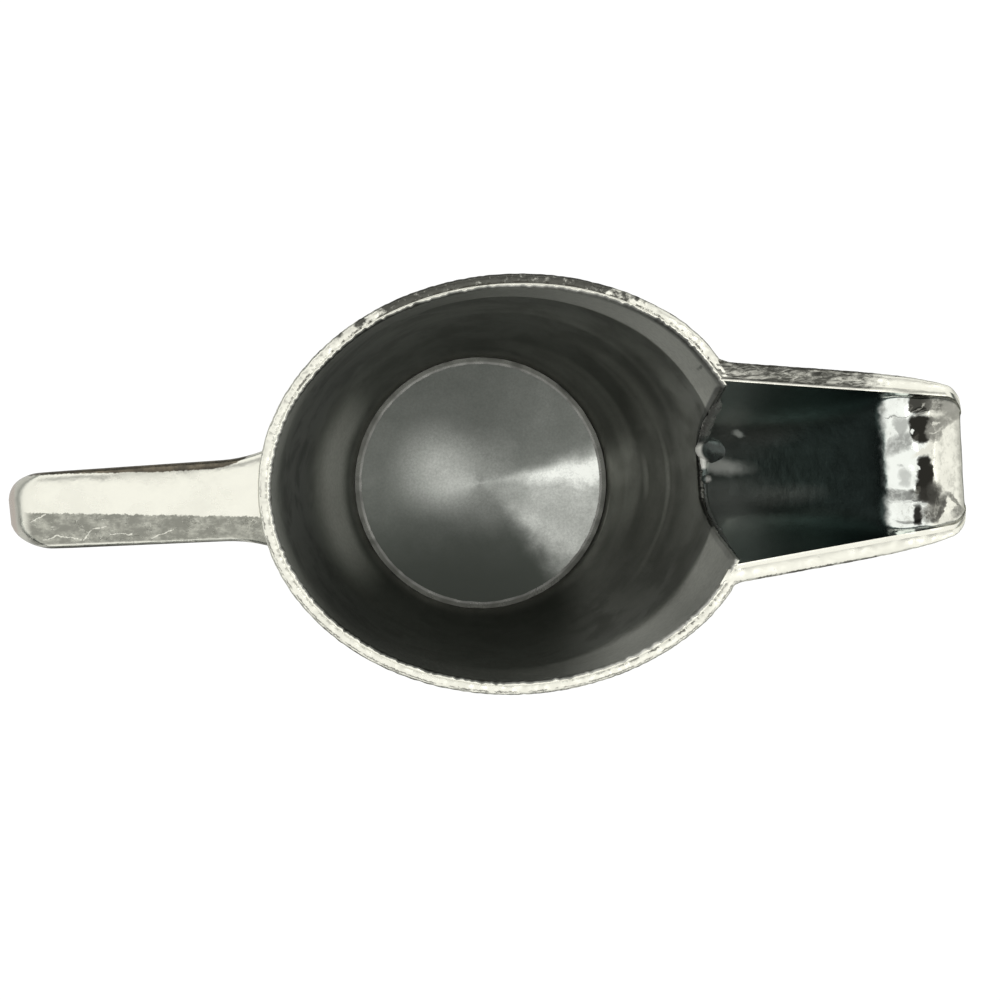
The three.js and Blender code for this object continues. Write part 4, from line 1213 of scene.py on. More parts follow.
def handle_finish(tint):
    """Handle: cream silver on top, a painted grey reflection with painted crease highlights along its right
    side, painted light and dark lines along its edges, a dark strip of olive tarnish and painted shade along
    its left edge, and a painted warm reflection at its end.
    """
    f = Finish("handle_silver")
    w = f.w
    f.wear(7.0, 0.55, 0.14, 0.35)
    ragged = w.drift(f.place, 1.1, 1.3, 4.0, 0.65)
    line = w.math("MULTIPLY_ADD", w.minus(f.x, GREY_EDGE_AT[0]), GREY_EDGE_SLOPE, GREY_EDGE_AT[1])
    below = w.minus(w.total(line, ragged), f.y)
    on_top = w.product(w.remap(f.z, 63.0, 66.0), w.remap(f.x, ELBOW_LINE, ELBOW_LINE + 1.8))
    grey = w.product(w.remap(below, -0.12, 0.12), on_top)
    crease_light = crease_highlights(f)
    mottle = w.remap(w.noise(w.scaled(f.place, 0.5, 0.8, 1.0), 0.9, 5.0, 0.72), 0.4, 0.7)
    grey_base = w.mix(mottle, opaque(tint.grey_tarnish_and_shade), opaque(tint.grey_tarnish_and_shade, 1.9))
    grey_base = w.mix(w.product(crease_light, 0.9), grey_base, opaque(tint.silver))
    flare = w.product(w.math("POWER", w.remap(f.x, -42.3, -33.3), 2.0), 2.0)
    half = w.total(w.remap(f.x, -72.0, -38.0, 6.2, 6.7), flare)
    from_right = w.total(f.y, w.product(ragged, 0.25), half)
    strip = w.product(w.remap(f.x, -71.0, -44.0, 0.45, 1.5), w.remap(f.x, -43.0, -36.0, 1.0, 0.5))
    past_left = w.total(w.minus(w.total(f.y, w.product(ragged, 0.6)), half), strip)
    olive = np.array(tint.dark_dirt_and_shade) * OLIVE_SHARES
    patchy = w.remap(w.noise(f.place, 0.6, 4.0, 0.65), 0.35, 0.65)
    olive_tarnish_and_shade = w.mix(patchy, opaque(olive), opaque(olive, 2.4))
    base = w.paint(
        f.silver(tint),
        # painted grey reflection along the right side of the top
        (grey, grey_base),
        # painted highlight line along the right edge
        (w.product(w.bump_at(from_right, 0.55, 0.3), on_top, 0.95), opaque(tint.silver)),
        # painted dark outline on the right edge
        (w.product(w.remap(from_right, 0.34, 0.16), on_top, 0.9), opaque(tint.dark_dirt_and_shade)),
        # olive tarnish and painted shade in a dark strip along the left edge
        (w.product(w.remap(past_left, -0.08, 0.12), on_top, 0.95), olive_tarnish_and_shade),
        # painted warm reflection of the floor on the end of the handle
        (w.remap(f.x, ELBOW_LINE - 1.6, ELBOW_LINE - 0.8, 0.85, 0.0), opaque(tint.end_floor_reflection)),
    )
    f.bump(w.total(f.worn["Dents"], w.product(crease_light, grey, 0.5)), 0.1)
    return f.done(f.pitted(base, tint, 0.5), (0.2, 0.32))


# Pieces
FRONT_ANGLE = 0.52
FRONT_COLUMNS = 220
BACK_COLUMNS = 620
WALL_ROWS = 44
CORNER_ROWS = 7
SHEET_FLAT = 0.34  # flat of the sheet's edge, outside its worn inner corner
SHEET_ROUND = 0.08
SHEET_DROP = 0.02
CORNER_TURNS = (0.5, 1.0, 1.5)  # where the worn inner corner has its rows, in radians
NICKED_SHARE = 0.95  # the corner is nicked up to this share of the sheet
CUT_FADE = (0.2, 2.0)  # depths below the mouth over which its edge turns into the rough cut one
INSIDE_DROP = 0.05  # the inside starts this far below the worn corner
# Swells of uneven pieces: height, wave and seed
BODY_SWELL = (0.05, 16, 6)
MOUTH_SWELL = (0.03, 2.2, 5)
FOLD_SWELL = (0.7, 4.5, 23)
DENT_SWELL = (0.1, 5.0, 21)
BEAD_RIPPLE = (0.03, 1.1, 43)
LUMP_SWELL = (0.05, 2.6, 44)
STRAP_SWELL = (0.03, 6.0, 51)
FILLET_SWELL = (0.03, 1.6, 61)
CUT_SWELLS = ((0.16, 1.7, 3), (0.1, 0.6, 4))
NICK_SWELLS = ((0.09, 0.9, 7), (0.07, 0.45, 9))
RIM_SWELLS = ((0.035, 2.0, 11), (0.03, 0.9, 12))
SPOUT_WIRE_SWELLS = ((0.03, 2.0, 31), (0.03, 0.9, 32))
BEAD_SWELLS = ((0.1, 2.4, 41), (0.04, 0.9, 42))


def corner_profile(plan, radius):
    """Quarter round of a bottom corner, from the flat bottom to the wall: radii and heights."""
    angle = np.linspace(0, np.pi / 2, CORNER_ROWS)
    return plan.flat_radius + radius * np.sin(angle), plan.wall_start - radius * np.cos(angle)


def build_body(plan, tint):
    """Oval body sheet, cut out for the spout, with a turned-in flange under the floor."""
    front = np.linspace(-FRONT_ANGLE, FRONT_ANGLE, FRONT_COLUMNS, endpoint=False)
    back = np.linspace(FRONT_ANGLE, 2 * np.pi - FRONT_ANGLE, BACK_COLUMNS, endpoint=False)
    angle = np.concatenate([front, back])
    top = plan.cut_height(angle)
    is_cut = smooth(*CUT_FADE, plan.rim_height - top)
    spots = plan.oval(angle, top, 0)
    top = top + is_cut * rough(spots, *CUT_SWELLS)
    top = top + (1 - is_cut) * (rough(spots, MOUTH_SWELL) - MOUTH_SWELL[0])
    rows = []

    def ring(radius, z):
        rows.append(np.stack([radius * np.cos(angle), radius * np.sin(angle), np.full_like(angle, z)], -1))

    inner = plan.flat_radius - plan.flange_width
    ring(inner, plan.foot_height)
    for radius, z in zip(*corner_profile(plan, plan.bottom_corner + plan.wall)):
        ring(radius, z)
    climb = np.linspace(0, 1, WALL_ROWS)[1:]
    for share in climb[:-1]:
        rows.append(plan.oval(angle, lerp(plan.wall_start, top, share), 0))
    edge = [(0, SHEET_ROUND), (SHEET_ROUND, 0), (SHEET_FLAT, SHEET_DROP)]
    for turn in CORNER_TURNS:
        inset = lerp(SHEET_FLAT, plan.wall, np.sin(turn))
        edge.append((inset, SHEET_DROP + plan.wall * (1 - np.cos(turn))))
    nicks = rough(spots, *NICK_SWELLS)
    for inset, drop in edge:
        is_nicked = SHEET_ROUND < inset < plan.wall * NICKED_SHARE
        rows.append(plan.oval(angle, top - drop, -inset - nicks * is_nicked))
    bright_rows = len(rows) - 3
    for share in climb[:-1][::-1]:
        z = np.minimum(lerp(plan.wall_start, top, share), top - plan.wall - INSIDE_DROP)
        rows.append(plan.oval(angle, z, -plan.wall))
    for radius, z in list(zip(*corner_profile(plan, plan.bottom_corner)))[::-1]:
        ring(radius, z)
    ring(inner, plan.flange_top)
    points = np.array(rows)
    points[..., :2] += rough(points, BODY_SWELL)[..., None] * unit_plan(points)
    faces = quads(len(rows), len(angle), wrap_rows=True, wrap_columns=True)
    is_inside = np.repeat(np.arange(len(rows)) >= bright_rows - 1, len(angle))
    finishes = [polished_finish("body_outside", tint, in_opening(plan, 1.1)), cup_finish(plan, tint)]
    return add_piece("body_sheet", "body_shell", points, faces, finishes, is_inside)


def unit_plan(points):
    """Directions away from the upright axis, in plan."""
    flat = points[..., :2]
    return flat / np.maximum(np.linalg.norm(flat, axis=-1, keepdims=True), 1e-9)


ROUND_COLUMNS = 240
LUMPY_WAVE = 3.0
LUMPY_SWAY = (0.3, 0.3, 1.0)


def lathe(name, node, slot, radii, heights, finish, bumps=0.0, seed=0):
    """A turned piece with a closed profile, a little uneven where asked."""
    angle = np.linspace(0, 2 * np.pi, ROUND_COLUMNS, endpoint=False)
    radii, heights = np.array(radii)[:, None], np.array(heights)[:, None]
    points = np.stack(np.broadcast_arrays(radii * np.cos(angle), radii * np.sin(angle), heights), -1)
    if bumps:
        points = points + bumps * waviness(points, LUMPY_WAVE, seed)[..., None] * np.array(LUMPY_SWAY)
    faces = quads(len(radii), ROUND_COLUMNS, wrap_rows=True, wrap_columns=True)
    return add_piece(name, node, points, faces, [finish])


FLOOR_RINGS = 60
FLOOR_HOLE = 0.05
FLOOR_SLACK = 0.02  # left round the disc and under it
TURNING_DEPTH = 0.004
TURNINGS = (2.4, 0.7)  # two beats of the turned rings, in radians for each millimetre


def build_floor(plan, tint):
    """Floor disc with turned rings, tucked under the solder round its edge."""
    radius = np.linspace(FLOOR_HOLE, plan.flat_radius - FLOOR_SLACK, FLOOR_RINGS)
    rings = TURNING_DEPTH * np.sin(radius * TURNINGS[0]) * np.sin(radius * TURNINGS[1])
    radii = [*radius, radius[-1], *radius[::-1][1:]]
    heights = [*(plan.floor_top - TURNING_DEPTH + rings)]
    heights += [plan.flange_top + FLOOR_SLACK] * FLOOR_RINGS
    return lathe("turned_floor_disc", "floor_disc", "turned_floor", radii, heights, floor_finish(tint))


SOLDER_ROWS = 10
SOLDER_TUCK = (0.08, 0.02)  # overlaps with the edge of the floor and with the wall
SOLDER_DEPTH = 0.3
SOLDER_BUMPS = (0.05, 8)  # height and seed
SOLDER_RISE = (0.25, 0.15)  # shares of the leg that it climbs over the floor and up the wall


def build_floor_solder(plan, tint):
    """Hollow fillet of solder between the floor and the wall."""
    share = np.linspace(0, 1, SOLDER_ROWS)
    wall_side = plan.base_radius - plan.wall + SOLDER_TUCK[1]
    inner = plan.flat_radius - SOLDER_TUCK[0]
    radii = [*lerp(inner, wall_side, share), wall_side, inner]
    climb = SOLDER_RISE[0] * np.sin(share * np.pi / 2) + SOLDER_RISE[1] * share ** 4
    heights = [*(plan.floor_top + plan.solder_leg * climb)]
    heights += [plan.floor_top - SOLDER_DEPTH] * 2
    finish = solder_finish(tint, "floor_ring_solder", 0.75, dark_outside(plan, tint))
    return lathe("floor_solder", "floor_solder_ring", "grey_solder", radii, heights, finish, *SOLDER_BUMPS)


FOOT_ROWS = 12
FOOT_ROUND = 0.15  # roundness of the tread's outer corner
FOOT_STEP = (0.06, 0.1)  # the flare starts this far in from the foot's upright edge, and this far above it
FOOT_TUCK = 0.02  # into the body
FOOT_HOLLOW = (0.05, 0.12)  # the tread's inner corner goes this far in and up


def build_foot(plan, tint):
    """Foot ring with a hollow flare and a flat tread."""
    top = plan.flat_radius - plan.seam
    edge = plan.foot_radius
    tread = edge - plan.foot_tread
    share = np.linspace(0, 1, FOOT_ROWS)
    radii = [tread, edge - FOOT_ROUND, edge, edge]
    heights = [0, 0, FOOT_ROUND, plan.foot_edge - FOOT_STEP[1]]
    radii += list(lerp(top, edge - FOOT_STEP[0], (1 - share) ** 2))
    heights += list(lerp(plan.foot_edge, plan.foot_height + FOOT_TUCK, share))
    radii += [top - plan.foot_band, tread - FOOT_HOLLOW[0]]
    heights += [plan.foot_height + FOOT_TUCK, FOOT_HOLLOW[1]]
    return lathe("foot", "foot_ring", "polished_silver", radii, heights, polished_finish("foot_silver", tint))


WIRE_POINTS = 22
WIRE_COLUMNS = 900
WIRE_TUCK = 2.4  # the ends of the mouth wire run into the spout's wires
GROOVE = 0.12  # depth of the groove between a wire and its sheet
TOP_TILT = 0.04  # the tops of the wires fall a little toward the sheet
WORN_TOP = 0.03  # the wires are worn down by this, more or less
WORN_SIDE = 0.6  # share of that on their sides
RIM_INSET = (0.06, 0.03)  # the mouth wire's side lies this far in, on average and at least
SPOUT_WIRE_INSET = 0.02
WIRE_FOOT_TUCK = 0.05  # the foot of a wire runs this far into its sheet
WIRE_FOOT_SHARE = 0.9  # and down to this share of the wire's height


def wire_section(width, height, gap):
    """Closed section of a wire: half round outside, with a foot that reaches the sheet."""
    angle = np.linspace(-np.pi / 2, np.pi / 2, WIRE_POINTS)
    out = width * np.cos(angle) ** (2 / WIRE_FULLNESS)
    up = height / 2 * (signed_power(np.sin(angle), 2 / WIRE_FULLNESS) - 1)
    up = up - TOP_TILT * (1 - out / np.max(width)) * smooth(-0.5, 0.0, up / height)
    foot_out = np.full(2, -gap - WIRE_FOOT_TUCK)
    foot_up = np.array([-GROOVE, -height * WIRE_FOOT_SHARE])
    return np.concatenate([out, foot_out]), np.concatenate([up, foot_up])


def ring_cap(row, columns):
    """Faces that close a full ring by a fan of quads and a triangle."""
    first = row * columns
    return np.array([[first, first + i, first + i + 1, first + i + 1] for i in range(1, columns - 1)])


def build_mouth_wire(plan, tint):
    """Wire round the outside of the mouth, open at the spout."""
    half = plan.spout_root_width / 2 + plan.wall + plan.seam + plan.spout_wire_width - WIRE_TUCK
    start = math.asin(half / (plan.rim_half + plan.seam + plan.mouth_wire_width / 2))
    angle = np.linspace(start, 2 * np.pi - start, WIRE_COLUMNS)[:, None]
    out, up = wire_section(plan.mouth_wire_width, plan.mouth_wire_height, plan.seam)
    z = plan.rim_height + up[None, :]
    points = plan.oval(angle, z, plan.seam + out)
    worn = rough(points, *RIM_SWELLS)
    points[..., 2] += np.minimum(worn - WORN_TOP, 0)
    inset = np.minimum(WORN_SIDE * worn - RIM_INSET[0], -RIM_INSET[1])
    points[..., :2] += inset[..., None] * unit_plan(points)
    faces = tube_faces(*points.shape[:2], ring_cap)
    return add_piece("rim_wire", "mouth_wire", points, faces, [rim_finish(plan, tint)])


SPOUT_SIDES = 121
SPOUT_ROWS = 110
LIP_ROWS = 18
FOLD_START = (66, 70)  # the fold of the lip wanders between these runs
FOLD_END = (76, 73)
FOLD_STRETCH = (0.4, 1.0, 0.0)
DENT_RUN = (60, 68)  # the lip is dented beyond this run
ROOT_TUCK = 0.45  # the spout sheet runs this far into the body sheet
TIP_RUN = 0.25  # the tip of the lip is rounded off over this run
TIP_ROUND = 0.28
EDGE_DROP = 0.12  # the outer corner of the sheet's edge lies this much lower


def spout_rows(plan):
    """Places along the spout, closer together round the corners of the lip."""
    ramp = np.linspace(plan.spout_root, plan.lip_square, SPOUT_ROWS, endpoint=False)
    corner = plan.lip_square + plan.lip_corner * np.sin(np.linspace(0, np.pi / 2, LIP_ROWS))
    return np.concatenate([ramp, corner])


def build_spout(plan, tint):
    """Scoop spout of one sheet, from the opening in the body to the rolled lip."""
    side = np.sin(np.linspace(-np.pi / 2, np.pi / 2, SPOUT_SIDES))
    stations = spout_rows(plan)[:, None]
    root = plan.spout_point(np.array([plan.spout_root]), side, 0)
    starts = plan.wall_front(root[..., 1], root[..., 2]) - ROOT_TUCK
    share = np.clip((stations - plan.spout_root) / (plan.lip_square - plan.spout_root), 0, 1)
    x = stations + (starts - plan.spout_root) * (1 - share)
    near_tip = np.maximum(0, 1 - (plan.spout_reach - stations) / TIP_RUN)
    round_off = TIP_ROUND * near_tip ** 2
    inside = plan.spout_point(x, side, round_off)
    near_fold = smooth(*FOLD_START, x) * smooth(*FOLD_END, x)
    warp = near_fold * rough(inside * np.array(FOLD_STRETCH), FOLD_SWELL)
    inside[..., 2] = plan.spout_point(x + warp, side, round_off)[..., 2]
    outside = plan.spout_point(x, side, plan.wall - round_off)
    inside[..., 1] = np.clip(inside[..., 1], -plan.spout_half(x), plan.spout_half(x))
    for rim in (0, -1):
        outside[:, rim, 1] = side[rim] * (plan.spout_half(x[:, rim]) + plan.wall)
        outside[:, rim, 2] = plan.edge(x[:, rim]) - EDGE_DROP
    top_edge = [lerp(inside[:, rim], outside[:, rim], 0.5) for rim in (0, -1)]
    for lifted, rim in zip(top_edge, (0, -1)):
        lifted[:, 2] = plan.edge(x[:, rim])
    ring = np.concatenate([
        inside, top_edge[1][:, None], outside[:, ::-1], top_edge[0][:, None]
    ], axis=1)
    dents = rough(ring * np.array([1, 1, 0]), DENT_SWELL) - DENT_SWELL[0] / 2
    ring[..., 2] += smooth(*DENT_RUN, ring[..., 0]) * np.minimum(dents, 0)
    rows, columns = ring.shape[:2]
    body = quads(rows, columns, wrap_columns=True)
    sides = SPOUT_SIDES
    caps = []
    for first in (0, (rows - 1) * columns):
        for i in range(sides - 1):
            caps.append([first + i, first + i + 1, first + 2 * sides - 1 - i, first + 2 * sides - i])
        caps.append([first + sides - 1, first + sides, first + sides + 1, first + sides + 1])
        last = first + columns - 1
        caps.append([first, last - 1, last, last])
    faces = np.vstack([body, np.array(caps)])
    column = np.tile(np.arange(columns), rows - 1)
    finish_of = np.concatenate([(column >= SPOUT_SIDES - 1).astype(int), np.ones(len(caps), int)])
    finishes = [spout_finish(plan, tint), polished_finish("spout_outside", tint, left_edge(plan))]
    return add_piece("spout_scoop", "spout_trough", ring, faces, finishes, finish_of)


WIRE_ROOT_TUCK = 1.6  # the spout's wires start this far inside the mouth wire
WIRE_AT_WALL = 0.35  # and stay this far inside the outer face of the body at most
WIRE_FLARE = 1.1  # and are wider there, where solder fills the corner
WIRE_FLARE_LENGTH = 3.0


def build_spout_wire(plan, name, node, sign, finish):
    """Wire along one edge of the spout, fading out at the corner of the lip."""
    stations = spout_rows(plan)
    stations = np.concatenate([stations[stations < plan.wire_end], [plan.wire_end]])
    reach = plan.spout_half(stations) + plan.wall + plan.seam
    start = plan.wall_front(reach[0] + plan.spout_wire_width / 2, plan.rim_height) - WIRE_ROOT_TUCK
    share = (stations - plan.spout_root) / (plan.wire_end - plan.spout_root)
    x = stations + (start - plan.spout_root) * (1 - share)
    rows = []
    for place in x:
        width = plan.wire_size(place, plan.spout_wire_width)
        height = plan.wire_size(place, plan.spout_wire_height)
        flare = np.clip(1 - (place - start - WIRE_ROOT_TUCK) / WIRE_FLARE_LENGTH, 0, 1)
        out, up = wire_section(width + WIRE_FLARE * flare ** 2, height, plan.seam)
        y = plan.spout_half(place) + plan.wall + plan.seam + out
        z = plan.edge(place) + up
        at_wall = plan.wall_front(y, np.minimum(z, plan.rim_height)) - WIRE_AT_WALL
        rows.append(np.stack([np.maximum(place, at_wall), sign * y, z], -1))
    points = np.array(rows)
    worn = rough(points, *SPOUT_WIRE_SWELLS)
    points[..., 2] += np.minimum(worn - WORN_TOP, 0)
    points[..., 1] += sign * np.minimum(WORN_SIDE * worn - SPOUT_WIRE_INSET, 0)
    faces = tube_faces(*points.shape[:2], ring_cap)
    return add_piece(name, node, points, faces, [finish])


# Lumps of solder on the bead: side, shift up the ramp, lift off it, and three radii
SOLDER_LUMPS = (
    (4.2, 2.1, 0.2, (3.3, 2.4, 0.95)),
    (-1.2, 0.4, 0.0, (1.1, 0.9, 0.6)),
    (-9.9, 0.2, 0.0, (0.5, 0.6, 0.45)),
)
LUMP_SINK = 0.45  # the lumps stay inside the spout's sheet underneath
LUMP_RINGS = 16
LUMP_POLE = 0.02  # where the rings of a lump start, in radians
LUMP_SIDES = 24
BEAD_ROWS = 260
BEAD_POINTS = 18
BEAD_SINK = 0.2  # the bead lies this far below the cut edge
BEAD_OUT = 0.1  # and this far out of the body's front
BEAD_LEAN = 0.6  # share of the ramp's slope along which it spreads
BEAD_SPREAD = (-3, 6)  # sides between which it gets thicker
BEAD_TAIL = 1.2  # it reaches this much further up the ramp
BEAD_FADE = (1.6, 2.8)  # it fades out between these distances from its ends
BEAD_LEAST = 0.05
BEAD_FLATNESS = 0.8
BEAD_SIZE = (0.28, 0.85)  # on the right and on the left of the opening


def build_spout_solder(plan, tint):
    """Uneven bead of solder along the cut edge between body and spout, with a few lumps."""
    half = plan.opening_half
    y = np.linspace(-half, half, BEAD_ROWS)
    z = plan.cut_edge(y) - BEAD_SINK
    spine = np.stack([plan.wall_front(y, z) + BEAD_OUT, y, z], -1)
    along = unit(np.gradient(spine, axis=0))
    up_ramp = np.array([1.0, 0.0, plan.ramp_slope * BEAD_LEAN])
    up_ramp = unit(up_ramp - along * (along @ up_ramp)[:, None])
    out = np.cross(along, up_ramp)
    out *= np.sign(out[:, 2:3] + 1e-9)
    thick = lerp(*BEAD_SIZE, smooth(*BEAD_SPREAD, y)) * (1 + rough(spine, *BEAD_SWELLS))
    fade = smooth(half - BEAD_FADE[0], half - BEAD_FADE[1], np.abs(y))
    tail = (thick * BEAD_TAIL * fade + BEAD_LEAST)[:, None]
    thick = (thick * fade + BEAD_LEAST)[:, None]
    turn = np.linspace(0, 2 * np.pi, BEAD_POINTS, endpoint=False)
    lengthwise = np.where(np.cos(turn) > 0, tail * np.cos(turn), thick * np.cos(turn))
    points = spine[:, None] + up_ramp[:, None] * lengthwise[..., None]
    points = points + out[:, None] * (thick * np.sin(turn) * BEAD_FLATNESS)[..., None]
    points = points + rough(points, BEAD_RIPPLE)[..., None] * out[:, None]
    parts, faces = [points.reshape(-1, 3)], [tube_faces(*points.shape[:2], ring_cap)]
    tilt = np.linspace(LUMP_POLE, np.pi - LUMP_POLE, LUMP_RINGS)[:, None]
    spin = np.linspace(0, 2 * np.pi, LUMP_SIDES, endpoint=False)
    for place, shift, lift, (long, wide, high) in SOLDER_LUMPS:
        row = int(np.argmin(np.abs(y - place)))
        centre = spine[row] + up_ramp[row] * shift + out[row] * lift
        lump = long * (np.sin(tilt) * np.cos(spin))[..., None] * up_ramp[row]
        lump = lump + wide * (np.sin(tilt) * np.sin(spin))[..., None] * along[row]
        lump = lump + high * (np.cos(tilt) * np.ones_like(spin))[..., None] * out[row]
        lump = centre + lump * (1 + rough(lump + centre, LUMP_SWELL))[..., None]
        side = np.clip(lump[..., 1] / plan.spout_half(lump[..., 0]), -1, 1)
        sheet = plan.spout_point(lump[..., 0], side, 0)[..., 2]
        lump[..., 2] = np.maximum(lump[..., 2], sheet - LUMP_SINK)
        faces.append(tube_faces(*lump.shape[:2], ring_cap) + sum(len(part) for part in parts))
        parts.append(lump.reshape(-1, 3))
    finish = solder_finish(tint, "spout_root_solder", 0.7, lump_stain_and_highlight(tint))
    points, faces = np.vstack(parts), np.vstack(faces)
    return add_piece("spout_root_bead", "spout_solder_bead", points, faces, [finish])


STRAP_POINTS = 44
HANDLE_TUCK_IN = 0.35  # the ends of the handle run this far into the body sheet


def meet_wall(plan, points, rows, start_row, end_row, heading, share):
    """Draws the rows at one end of a sweep straight out to the body, each by its share of the way."""
    start = points[start_row].copy()
    start[:, 1] = points[end_row, :, 1]
    hit = plan.wall_hit(start, heading) + heading * HANDLE_TUCK_IN
    widths = points[rows, :, 1].copy()
    points[rows] = lerp(start, hit, share[:, None, None])
    points[rows, :, 1] = widths


def sweep_strap(plan, across, outward):
    """Sweeps section points, given for each station, along the handle until they meet the body."""
    places, headings, _, tail_row = plan.handle_path()
    x = places[:, 0:1] + headings[:, 1:2] * outward
    z = places[:, 1:2] - headings[:, 0:1] * outward
    points = np.stack([x, across, z], -1)
    forward = np.array([1.0, 0.0, 0.0])
    arm = 1 - np.arange(RUN_STATIONS) / RUN_STATIONS
    meet_wall(plan, points, slice(0, RUN_STATIONS), RUN_STATIONS, 0, forward, arm)
    tail_heading = np.array([headings[-1][0], 0.0, headings[-1][1]])
    tail = np.linspace(0, 1, len(places) - tail_row)
    meet_wall(plan, points, slice(tail_row, None), tail_row, -1, tail_heading, tail)
    return dome_end(plan, points)


DOME_START = 66.0  # the end of the strap is rounded in plan beyond this
DOME_LOW, DOME_HIGH = 44.0, 57.0
DOME_SPARE = 0.02
DOME_FULLNESS = (2.4, 3.2)  # on the right and on the left of the strap


def dome_end(plan, points):
    """Rounds the end of the strap in plan, so that its elbow is a dome and not a square corner."""
    x, y, z = np.moveaxis(points, -1, 0)
    across = np.clip(y / (plan.handle_width / 2), -1, 1)
    fullness = lerp(*DOME_FULLNESS, smooth(-0.3, 0.3, across))
    shrink = np.maximum(DOME_SPARE, 1 - np.abs(across) ** fullness) ** (1 / fullness)
    domed = -DOME_START + (x + DOME_START) * shrink
    share = smooth(DOME_LOW, DOME_HIGH, z)
    rounded = np.where(x < -DOME_START, lerp(x, domed, share), x)
    return np.stack([rounded, y, z], -1)


def strap_section(half_wide, half_thick, start, end):
    """Across and outward measures of the rounded strap, over a range of angle."""
    angle = np.linspace(start, end, STRAP_POINTS)
    power = 2 / STRAP_FULLNESS
    return half_wide * signed_power(np.cos(angle), power), half_thick * signed_power(np.sin(angle), power)


def build_handle_half(plan, name, node, sign, finish):
    """One struck half of the hollow handle, open toward the other half."""
    _, _, distance, _ = plan.handle_path()
    wide = plan.strap_half(distance, distance[-1])[:, None]
    lift = sign * plan.handle_seam / 2
    thick = plan.handle_thickness / 2 - plan.handle_seam / 2
    across, outward = strap_section(wide, thick, 0, sign * np.pi)
    inner_across, inner_outward = strap_section(
        wide - plan.handle_sheet, thick - plan.handle_sheet, sign * np.pi, 0
    )
    flat = np.broadcast_to(outward, across.shape), np.broadcast_to(inner_outward, across.shape)
    ring_across = np.concatenate([across, inner_across], 1)
    ring_outward = np.concatenate(flat, 1) + lift
    points = sweep_strap(plan, ring_across, ring_outward)
    points[..., 2] += rough(points * np.array([1, 1, 0.3]), STRAP_SWELL)
    faces = tube_faces(*points.shape[:2])
    return add_piece(name, node, points, faces, [finish])


FILLET_POINTS = 9
FILLET_AROUND = 96
FILLET_TUCK = 0.3  # into the body
FILLET_UNDER = 0.2  # and into the handle


def build_handle_solder(plan, name, node, at_top, finish):
    """Hollow fillet of solder round the handle where it meets the body."""
    places, headings, distance, tail_row = plan.handle_path()
    row = 1 if at_top else len(places) - 1
    wide = plan.strap_half(distance[row], distance[-1])
    thick = plan.handle_thickness / 2
    angle = np.linspace(0, 2 * np.pi, FILLET_AROUND, endpoint=False)
    power = 2 / STRAP_FULLNESS
    outline = np.stack([
        wide * signed_power(np.cos(angle), power), thick * signed_power(np.sin(angle), power)
    ], -1)
    along = np.roll(outline, -1, 0) - np.roll(outline, 1, 0)
    normal = unit(np.stack([along[:, 1], -along[:, 0]], -1))
    base = places[RUN_STATIONS] if at_top else places[tail_row]
    run = headings[0] if at_top else headings[-1]
    heading = -run if at_top else run
    turn = np.linspace(0, np.pi / 2, FILLET_POINTS)
    legs = plan.solder_leg + plan.seam
    away = np.concatenate([legs * (1 - np.sin(turn)), [-FILLET_TUCK, -FILLET_TUCK]])
    aside = np.concatenate([legs * (1 - np.cos(turn)), [legs, -FILLET_UNDER]])
    spread = outline[:, None] + normal[:, None] * aside[None, :, None]
    up = np.array([run[1], -run[0]])
    start = np.stack([
        base[0] + up[0] * spread[..., 1], spread[..., 0], base[1] + up[1] * spread[..., 1]
    ], -1)
    direction = np.array([heading[0], 0.0, heading[1]])
    hit = plan.wall_hit(start, direction)
    points = hit - direction * away[None, :, None]
    points = points + rough(points, FILLET_SWELL)[..., None]
    faces = quads(*points.shape[:2], wrap_rows=True, wrap_columns=True)
    return add_piece(name, node, points, faces, [finish])


# Studio
FLOOR_RADIUS = 4.0
FLOOR_SINK = 0.00005  # keeps the floor clear of the foot
COVE_RADIUS = 4.6
COVE_HEIGHT = 0.5
STAGE_COLUMNS = 96
FLOOR_STEPS = (0.02, 0.4, 1.5)
COVE_ROWS = 9
FLOOR_SHARE = 0.85  # share of the floor's own white; the rest keeps the shadow
FLOOR_WHITE = 1.1
FLOOR_DIM = 0.6  # how light the floor is to everything but the camera


def build_stage(tint):
    """Plain pale floor with a low cove round it, open under the middle of the foot."""
    angle = np.linspace(0, 2 * np.pi, STAGE_COLUMNS, endpoint=False)
    rise = np.linspace(0, np.pi / 2, COVE_ROWS)
    radii = np.concatenate([FLOOR_STEPS, FLOOR_RADIUS + (COVE_RADIUS - FLOOR_RADIUS) * np.sin(rise)])
    heights = np.concatenate([np.zeros(len(FLOOR_STEPS)), COVE_HEIGHT * (1 - np.cos(rise))]) - FLOOR_SINK
    points = np.stack(np.broadcast_arrays(
        radii[:, None] * np.cos(angle), radii[:, None] * np.sin(angle), heights[:, None]
    ), -1)
    mesh = bpy.data.meshes.new("studio_floor")
    faces = quads(len(radii), STAGE_COLUMNS, wrap_columns=True)[:, ::-1].tolist()
    mesh.from_pydata(points.reshape(-1, 3).tolist(), [], faces)
    assert all(face.normal.z > -0.01 for face in mesh.polygons), "the studio floor has to face up"
    mesh.shade_smooth()
    floor = bpy.data.objects.new("studio_floor", mesh)
    bpy.context.scene.collection.objects.link(floor)
    mesh.materials.append(backdrop_finish(tint))


